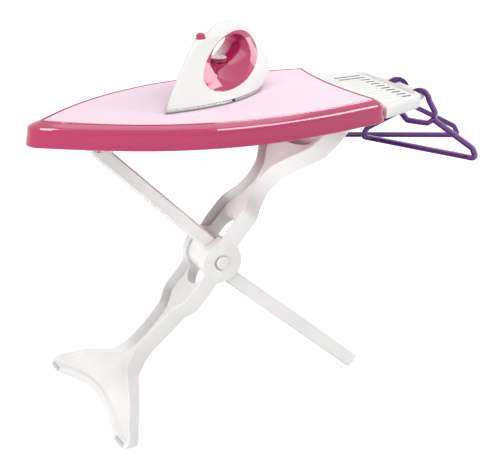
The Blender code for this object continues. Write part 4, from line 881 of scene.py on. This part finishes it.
def leg_openings():
    """Outlines that are cut right through the leg's thickness."""
    wide = ARCH_TOOL_REACH
    below = FLOOR_T - FOOT_HALF_SPREAD
    arch = [(arch_edge(y), y) for y in spaced(-wide, wide, steps=80)] + [(below, wide), (below, -wide)]
    half = WINDOW_HALF_WIDTH
    window = arc((WINDOW_TOP - half, 0.0), half, -90, 90, count=33)
    window += arc((WINDOW_BOTTOM + half, 0.0), half, 90, 270, count=33)
    bay = [(WEB_OPEN_T + WEB_BAY_LENGTH * x, WEB_BAY_HALF_WIDTH * y) for x, y in circle(1.0, sides=72)]
    gap = LEG_TOP_HALF_WIDTH - EAR_THICKNESS
    past = LEG_TOP_T + EAR_THICKNESS
    ears = [(WEB_OPEN_T, -gap), (past, -gap), (past, gap), (WEB_OPEN_T, gap)]
    return (("arch", arch), ("window", window), ("bay", bay), ("ears", ears))


def pocket_wall():
    """The wall behind the bay between the ears."""
    rings = []
    for t in spaced(HINGE_T - POCKET_END, HINGE_T - POCKET_TOP, steps=8):
        side, bottom = leg_half_width(t) - EAR_THICKNESS / 2, leg_bottom(t) + GAP
        top = bottom + POCKET_WALL
        corners = ((-side, bottom), (side, bottom), (side, top), (-side, top))
        rings.append([Vector((t, y, z)) for y, z in corners])
    return loft("pocket", rings, LEG_PLACE)


def make_leg():
    """The leg with its openings, its bores for pin and rod, its level foot and its pads' pockets."""
    leg = loft("leg_moulding", [leg_ring(t) for t in leg_stations()], LEG_PLACE)
    deep = LEG_DEPTH + CHEEK_RADIUS
    wide = ARCH_TOOL_REACH
    tools = [prism(name, outline, deep, LEG_PLACE) for name, outline in leg_openings()]
    reach = Vector((0, LEG_HUB_HALF_WIDTH + PIN_RADIUS, 0))
    tools.append(rod("pin_bore", PIVOT - reach, PIVOT + reach, PIN_RADIUS))
    seat = PIVOT - Vector((PIN_SEAT_SHIFT, LEG_HUB_HALF_WIDTH - PIN_SEAT_DEPTH, 0))
    tools.append(rod("pin_seat", seat, seat - reach, PIN_SEAT_RADIUS))
    reach = Vector((0, 2 * LEG_TOP_HALF_WIDTH, 0))
    tools.append(rod("rod_bore", HINGE - reach, HINGE + reach, ROD_RADIUS))
    tools.append(block("floor_cut", (-wide, -2 * wide, -wide), (PIVOT.x, 2 * wide, PAD_PROUD)))
    for pad in ("foot_pad_near", "foot_pad_far"):
        low, high = (Vector(corner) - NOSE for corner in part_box(pad))
        grow = Vector((GAP, GAP, GAP))
        tools.append(block(pad + "_pocket", low - grow, high + grow))
    leg = carve(carve(leg, tools), [pocket_wall()], "UNION")
    piece("leg_moulding", leg, "white_plastic", "main_leg", ["main_leg"], sharp=30)


def make_catch():
    """The clip for the brace's peg under the deck, its lower lip ending just before the peg."""
    low, high = (Vector(corner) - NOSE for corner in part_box("catch_bracket"))
    peg, lip = low.x + CATCH_FRONT, low.x + CATCH_FRONT - CATCH_LIP
    base = high.z - BRACKET_PLATE
    inside = base + BRACKET_PLATE / 2
    outline = [(lip + CATCH_LIP_BEVEL, low.z), (lip, low.z + CATCH_LIP_BEVEL), (lip, HINGE.z - CATCH_SLOT)]
    outline += arc((peg, HINGE.z), CATCH_SLOT, 270, 450, count=17)
    outline += [(lip, HINGE.z + CATCH_SLOT), (low.x, 2 * HINGE.z - low.z), (low.x, inside)]
    outline += [(high.x, inside), (high.x, low.z + CATCH_HEEL_BEVEL), (high.x - CATCH_HEEL_BEVEL, low.z)]
    turn = Matrix.Rotation(math.radians(90), 4, "X")
    inset = high.y - CATCH_CHEEK / 2
    cheeks = [prism("cheek", outline, CATCH_CHEEK / 2, Matrix.Translation((0, side * inset, 0)) @ turn)
              for side in (-1, 1)]
    plate = block("catch_clip", (low.x, low.y, base), high)
    piece("catch_clip", carve(plate, cheeks, "UNION"), "white_plastic", "board", ["catch_bracket"])


# Toy iron

def iron_front(h):
    """Where the front edge of the body lies at a height above the cover."""
    if h > COLUMN_TOP:
        return HANDLE_FRONT_S + (h - COLUMN_TOP) * HANDLE_FRONT_SLOPE
    over = max(0.0, h - COLUMN_TOP + COLUMN_ROUNDING)
    fall = math.sqrt(max(0.0, COLUMN_ROUNDING ** 2 - over * over))
    return eased(IRON_FRONT, h) + COLUMN_ROUNDING - fall


def iron_ring(h, grow=0.0, count=40):
    """A level slice: pointed in front, blunter towards the top, round behind."""
    front = iron_front(h) - grow * IRON_TIP_GROWTH
    back = IRON_HEEL_S - eased(IRON_TAIL, h) + grow
    wide = IRON_HALF_WIDTH - eased(IRON_NARROWING, h) + grow
    sharp = eased(IRON_SHARPNESS, h)
    near = []
    for i in range(count + 1):
        f = 0.5 - 0.5 * math.cos(math.pi * i / count)
        if f <= IRON_WIDEST:
            share = math.sin(math.pi / 2 * f / IRON_WIDEST) ** sharp
        else:
            past = (f - IRON_WIDEST) / (1 - IRON_WIDEST)
            share = max(0.0, 1 - past ** HEEL_BLUNTNESS) ** (1 / HEEL_BLUNTNESS)
        near.append((front + (back - front) * f, -wide * share))
    return level(both_sides(near), h)


def egg(centre_s, centre_h, half_length, half_height, v, grow=0.0):
    """Egg outline of the handle opening, in the plane at side distance v."""
    points = []
    for i in range(EGG_SIDES):
        a = math.tau * i / EGG_SIDES
        rise = (half_height + grow) * math.sin(a) * (1 + OPENING_LEAN * math.cos(a))
        reach = (half_length + grow) * math.cos(a) + OPENING_SLANT * rise
        points.append(Vector((centre_s + reach, v, centre_h + rise)))
    return points


def iron_body(name, grow=0.0):
    """The whole outer form, from the soleplate to the rounded top of the handle."""
    low = SOLE_HEIGHT + GAP
    top = IRON_HEIGHT - IRON_TOP_ROUNDING[0][0]
    levels = spaced(low, COLUMN_TOP, steps=40) + spaced(HANDLE_START, top, steps=12)[:-1]
    rings = [iron_ring(h, grow) for h in levels]
    rings += [iron_ring(IRON_HEIGHT - drop, grow + inset) for drop, inset in IRON_TOP_ROUNDING]
    return loft(name, rings, IRON_PLACE)


def iron_post(name, s, low, high, radius):
    """An upright round tool in the iron's middle plane."""
    return rod(name, (s, 0, low), (s, 0, high), radius, IRON_PLACE)


def make_iron_cases():
    """The two hollow halves of the body, with the handle opening, the button's well and screw recesses."""
    wide = IRON_TOOL_REACH
    reach = 2 * IRON_HEEL_S
    for side, name in ((-1, "near"), (1, "far")):
        hollow = [iron_ring(h, -IRON_WALL, count=20) for h in spaced(0, IRON_HOLLOW_TOP, steps=12)]
        tools = [
            loft("hollow", hollow, IRON_PLACE),
            loft("opening", [egg(*OPENING, v) for v in (-wide, wide)], IRON_PLACE),
            iron_post("well", BUTTON_S, BUTTON_WELL_FLOOR, IRON_HEIGHT, BUTTON_WELL_RADIUS),
            iron_post("stem", BUTTON_S, IRON_HOLLOW_TOP - IRON_WALL, COLUMN_TOP, BUTTON_STEM_RADIUS)]
        if side > 0:
            tools += [rod("screw_recess", (s, SCREW_RECESS_FLOOR, h), (s, IRON_HALF_WIDTH, h),
                          SCREW_RECESS_RADIUS, IRON_PLACE) for s, h in IRON_SCREWS]
        low, high = sorted((side * GAP / 2, -side * wide))
        tools.append(block("other_half", (-reach, low, -reach), (reach, high, reach), IRON_PLACE))
        case = carve(iron_body("iron_case_" + name), tools)
        piece("iron_case_" + name, case, "white_plastic", "iron", ["iron_shell_" + name], sharp=34)


def make_liner():
    """The pink lining of the handle opening, narrow at the middle and flared to both sides."""
    wide = IRON_TOOL_REACH
    plug = loft("handle_lining", [egg(*OPENING, v, -GAP) for v in (-wide, wide)], IRON_PLACE)
    plug = carve(plug, [iron_body("limit", -GAP)], "INTERSECT")
    rings = []
    rim = (OPENING[0], OPENING[1], OPENING[2] - LINER_RIM, OPENING[3] - LINER_RIM)
    for station in spaced(-LINER_PAST, LINER_PAST, steps=54):
        flare = min(1.0, abs(station)) ** WAIST_FLARE
        mix = [a + (b - a) * flare for a, b in zip(WAIST, rim)]
        rings.append(egg(*mix, station * LINER_REACH))
    bottom = DIAL_TOP - DIAL_HEIGHT
    foot = bottom - DIAL_SPINDLE_LENGTH - JOINT_GAP / 2
    stem_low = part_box("iron_button")[0][2] - BOARD_TOP - BUTTON_TRAVEL - GAP
    tools = [
        loft("waist", rings, IRON_PLACE),
        iron_post("stem_room", BUTTON_S, stem_low, COLUMN_TOP, BUTTON_FOOT_ROOM),
        iron_post("dial_pocket", DIAL_S, bottom - JOINT_GAP / 2, DIAL_TOP + DIAL_HEIGHT,
                  DIAL_RADIUS + JOINT_GAP),
        iron_post("spindle_hole", DIAL_S, foot, bottom, DIAL_SPINDLE_RADIUS + RUNNING_GAP)]
    piece("handle_lining", carve(plug, tools), "pink_plastic", "iron", ["iron_liner"], sharp=18)


def make_sole():
    """The soleplate with its rounded edge, and a notch in its near side."""
    rings = [iron_ring(GAP + up, grow) for up, grow in SOLE_SECTION]
    plate = carve(loft("sole_plate", rings, IRON_PLACE), [block("notch", *SOLE_NOTCH, IRON_PLACE)])
    piece("sole_plate", plate, "sole_grey", "iron", ["soleplate"])


def make_dial():
    """A white cap with a dished top on a knurled pink ring and a short spindle."""
    def plain(z, radius):
        return level(circle(radius, DIAL_TEETH * DIAL_TOOTH_POINTS), z)

    def toothed(z, inset):
        ring = []
        for i, point in enumerate(plain(z, 1.0)):
            tooth = DIAL_TOOTH * (0.5 - 0.5 * math.cos(math.tau * i / DIAL_TOOTH_POINTS))
            radius = DIAL_RADIUS - inset - tooth
            ring.append(Vector((point.x * radius, point.y * radius, z)))
        return ring

    place = IRON_PLACE @ Matrix.Translation((DIAL_S, 0, DIAL_TOP))
    spindle = (-DIAL_HEIGHT - DIAL_SPINDLE_LENGTH, -DIAL_HEIGHT)
    ring = [plain(z, DIAL_SPINDLE_RADIUS) for z in spindle]
    ring += [toothed(z, inset) for z, inset in DIAL_RING_SECTION]
    piece("dial_ring", loft("dial_ring", ring, place), "pink_plastic", "dial", ["iron_dial"])
    outer = DIAL_RADIUS - DIAL_CAP_INSET
    cap = [plain(z, outer - inset) for z, inset in DIAL_CAP_SECTION]
    cap.append(plain(-DIAL_DISH_DEPTH, DIAL_DISH_RADIUS))
    piece("dial_cap", loft("dial_cap", cap, place), "white_plastic", "dial", ["iron_dial"])


def make_spring():
    """The coil spring under the button, with a mesh of its own."""
    low, high = (Vector(corner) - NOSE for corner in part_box("button_spring"))
    centre = IRON_PLACE @ Vector((BUTTON_S, 0, 0))
    steps = SPRING_CURLS * SPRING_CURL_POINTS
    rise = high.z - low.z - SPRING_WIRE
    path = []
    for i in range(steps + 1):
        a = math.tau * i / SPRING_CURL_POINTS
        x = centre.x + SPRING_RADIUS * math.cos(a)
        y = centre.y + SPRING_RADIUS * math.sin(a)
        path.append(Vector((x, y, low.z + SPRING_WIRE / 2 + rise * i / steps)))
    wire = sweep("spring_coil", path, circle(SPRING_WIRE / 2, sides=12), (0, 0, 1))
    coil = piece("spring_coil", wire, "steel", "iron", ["button_spring"])
    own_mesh(coil)


# Hangers

def corner_path(points, radius):
    """A path through the points with each inner corner rounded to the radius."""
    points = [Vector(point) for point in points]
    path = points[:1]
    for before, here, after in zip(points, points[1:], points[2:]):
        into, out = here - before, after - here
        turn = into.angle(out)
        reach = min(radius * math.tan(turn / 2), into.length * CORNER_SHARE, out.length * CORNER_SHARE)
        start = here - into.normalized() * reach
        end = here + out.normalized() * reach
        path += [start.lerp(here, u).lerp(here.lerp(end, u), u) for u in spaced(0, 1, steps=8)]
    return path + points[-1:]


def hanger_section():
    """Two rounded flanges joined by a thin web, as a closed outline."""
    outer, inner, high, edge = FLANGE_OUTER, FLANGE_INNER, FLANGE_HALF, FLANGE_EDGE
    upper = [(outer, 0.0), (outer, high - edge), (outer - edge * 0.35, high - edge * 0.3),
             (outer - edge, high), (inner + edge * 0.6, high), (inner + edge * 0.15, high - edge * 0.4),
             (inner - WEB_FILLET[0], WEB_HALF + WEB_FILLET[1]), (inner - WEB_START, WEB_HALF)]
    return both_sides(upper + [(-a, b) for a, b in reversed(upper)])


def make_hanger(which):
    """Hook, sloping stem and a closed loop of shoulders and bar, ribbed across the near one's bar."""
    neck = -HANGER_NECK_DROP
    shoulder = HANGER_HALF_LENGTH - HANGER_END_SLOPE
    foot = HANGER_HALF_LENGTH + HANGER_END_SLOPE
    corners = [(x, neck + up) for x, up in HANGER_NECK]
    corners += [(-shoulder, -HANGER_SHOULDER_DROP), (-foot, -HANGER_BAR_DROP)]
    corners += [(foot, -HANGER_BAR_DROP), (shoulder, -HANGER_SHOULDER_DROP)]
    corners += [(x, neck + up) for x, up in HANGER_STEM_SIDE]
    loop = corner_path([(x, 0.0, z) for x, z in corners], HANGER_CORNER_RADIUS)[1:-1]
    section = hanger_section()
    name = "hanger_%s_moulding" % which
    body = sweep(name, loop, section, (0, 1, 0), closed=True)
    bow = arc((0, 0), HOOK_RADIUS, HOOK_TIP_ANGLE, HOOK_STEM_ANGLE, count=28)
    hook = [Vector((x, 0.0, z)) for x, z in bow]
    bend = (STEM_BEND[0], 0.0, neck + STEM_BEND[1])
    stem = corner_path([hook[-1], bend, (STEM_FOOT[0], 0.0, neck + STEM_FOOT[1])], STEM_RADIUS)
    thin = [(a * STEM_THINNING, b * STEM_THINNING) for a, b in section]
    tools = [sweep("hook", hook + stem[1:], thin, (0, 1, 0), tips=HOOK_TIP)]
    count = int(2 * (HANGER_HALF_LENGTH - TIP_CLEAR) / RIB_PITCH) if which == "near" else 0
    turn = Matrix.Translation((0, 0, -HANGER_BAR_DROP)) @ Matrix.Rotation(math.radians(90), 4, "X")
    for i in range(count):
        x = (i - (count - 1) / 2) * RIB_PITCH
        rib = [(x - RIB_LEAN - RIB_HALF, FLANGE_INNER), (x - RIB_LEAN + RIB_HALF, FLANGE_INNER),
               (x + RIB_LEAN + RIB_HALF, -FLANGE_INNER), (x + RIB_LEAN - RIB_HALF, -FLANGE_INNER)]
        tools.append(prism("rib_%d" % i, rib, FLANGE_HALF - RIB_SINK, turn))
    body = carve(body, tools, "UNION")
    swing = joint("hanger_%s_swing" % which)
    hook_place = Vector(swing["pos_m"]) - NOSE
    body.transform(Matrix.Translation(hook_place) @ Matrix.Rotation(HANGER_YAW[which], 4, "Z"))
    piece(name, body, "purple_plastic", "hanger_" + which, ["hanger_" + which], sharp=34)


# Stage

CAMERA_PLACE = Vector((-0.510965, -1.601145, 0.888615))
CAMERA_LOOK = Vector((0.4282, 0.8331, -0.3502))
FOCAL_PIXELS = 1285.4
PHOTO_WIDTH = 500
SENSOR_MM = 36.0
FLOOR_HALF_SIZE = 6.0
FLOOR_DROP = 0.0005
FLOOR_LIFT = 0.75
WORLD_STRENGTH = 0.68
WHITE = (1, 1, 1, 1)


def make_camera():
    lens = bpy.data.cameras.new("camera")
    lens.sensor_width = SENSOR_MM
    lens.sensor_fit = "HORIZONTAL"
    lens.lens = FOCAL_PIXELS * SENSOR_MM / PHOTO_WIDTH
    lens.clip_start = 0.05
    camera = add_object("camera", lens)
    camera.location = CAMERA_PLACE + NOSE
    camera.rotation_euler = CAMERA_LOOK.to_track_quat("-Z", "Y").to_euler()
    bpy.context.scene.camera = camera


def seen_directly(tree):
    """1 for what the camera sees, also by a reflection or through glass, and 0 for other light."""
    path = add_node(tree, "LightPath")
    value = path.outputs["Is Camera Ray"]
    for other in ("Is Glossy Ray", "Is Transmission Ray"):
        either = add_node(tree, "Math")
        either.operation = "MAXIMUM"
        tree.links.new(value, either.inputs[0])
        tree.links.new(path.outputs[other], either.inputs[1])
        value = either.outputs["Value"]
    return value


def make_floor():
    """A pale paper floor that turns white to the camera and keeps the object's shadow."""
    bm = bmesh.new()
    bmesh.ops.create_grid(bm, x_segments=1, y_segments=1, size=FLOOR_HALF_SIZE)
    mesh = mesh_from(bm, "floor")
    floor = add_object("floor", mesh)
    floor.location.z = -FLOOR_DROP
    made, tree, shader = shader_of("floor_paper", grey(0.60), 0.9)
    paint(tree, shader, noise(tree, scale=3.0, detail=2.0), low=grey(0.59), high=grey(0.61))
    glow = add_node(tree, "Emission", Color=WHITE)
    lift = add_node(tree, "Math")
    lift.operation = "MULTIPLY"
    lift.inputs[1].default_value = FLOOR_LIFT
    both = add_node(tree, "AddShader")
    link = tree.links.new
    link(seen_directly(tree), lift.inputs[0])
    link(lift.outputs["Value"], glow.inputs["Strength"])
    link(shader.outputs["BSDF"], both.inputs[0])
    link(glow.outputs["Emission"], both.inputs[1])
    link(both.outputs["Shader"], tree.nodes["Material Output"].inputs["Surface"])
    mesh.materials.append(made)


def make_light(name, place, target, size, power, mirrored=True, beam=180):
    """A rectangular lamp in watts, aimed at a target, with its beam in degrees.

    A lamp that isn't mirrored lights the object without showing in its gloss.
    """
    lamp = bpy.data.lights.new(name, "AREA")
    lamp.shape = "RECTANGLE"
    lamp.size, lamp.size_y = size
    lamp.energy = power
    lamp.spread = math.radians(beam)
    obj = add_object(name, lamp)
    obj.visible_glossy = mirrored
    obj.location = place
    obj.rotation_euler = (Vector(target) - Vector(place)).to_track_quat("-Z", "Y").to_euler()


def make_world():
    """Soft white light all round, plain white to the camera."""
    world = bpy.data.worlds.new("studio")
    bpy.context.scene.world = world
    world.use_nodes = True
    tree = world.node_tree
    back = tree.nodes["Background"]
    set_sockets(back, Color=WHITE, Strength=WORLD_STRENGTH)
    white = add_node(tree, "Background", Color=WHITE, Strength=1.0)
    mix = add_node(tree, "MixShader")
    link = tree.links.new
    link(seen_directly(tree), mix.inputs["Fac"])
    link(back.outputs["Background"], mix.inputs[1])
    link(white.outputs["Background"], mix.inputs[2])
    link(mix.outputs["Shader"], tree.nodes["World Output"].inputs["Surface"])


def make_stage():
    make_floor()
    make_world()
    make_light("key", (1.05, -0.75, 1.9), (0.91, 0.01, 0.4), (2.0, 0.16), 12)
    make_light("left", (-1.9, -0.7, 0.30), (0, 0, 0.25), (1.2, 0.6), 18.5, mirrored=False)
    make_light("right", (1.4, -1.2, 0.9), (0, 0, 0.3), (1.2, 1.2), 4, mirrored=False)
    make_light("front", (-0.5, -1.7, 0.20), (0.05, 0, 0.3), (1.0, 0.5), 1.2, mirrored=False)
    make_light("recess", (-1.20, -0.70, 0.27), (0.02, 0, 0.300), (0.08, 0.08), 0.03, mirrored=False,
               beam=11)
    make_light("nose", (-0.79, 0.20, 1.9), (-0.32, -0.02, 0.43), (0.22, 0.14), 1.2)
    make_light("top", (0.2, 0.4, 2.0), (0, 0, 0.4), (1.4, 1.0), 6)
    make_light("lip", (1.17, -0.85, 1.03), (-0.08, -0.03, 0.47), (0.26, 0.10), 0.75)
    make_light("edge", (1.65, 0.28, 0.92), (0, 0.03, 0.49), (0.35, 0.25), 0.8)


bpy.context.scene.view_settings.view_transform = "Standard"
make_camera()
finish_nodes()
make_rim()
make_cover()
make_rest()
make_leg()
make_catch()
make_iron_cases()
make_liner()
make_sole()
make_dial()
make_spring()
for which_hanger in ("near", "far"):
    make_hanger(which_hanger)
make_stage()

bpy.context.view_layer.update()
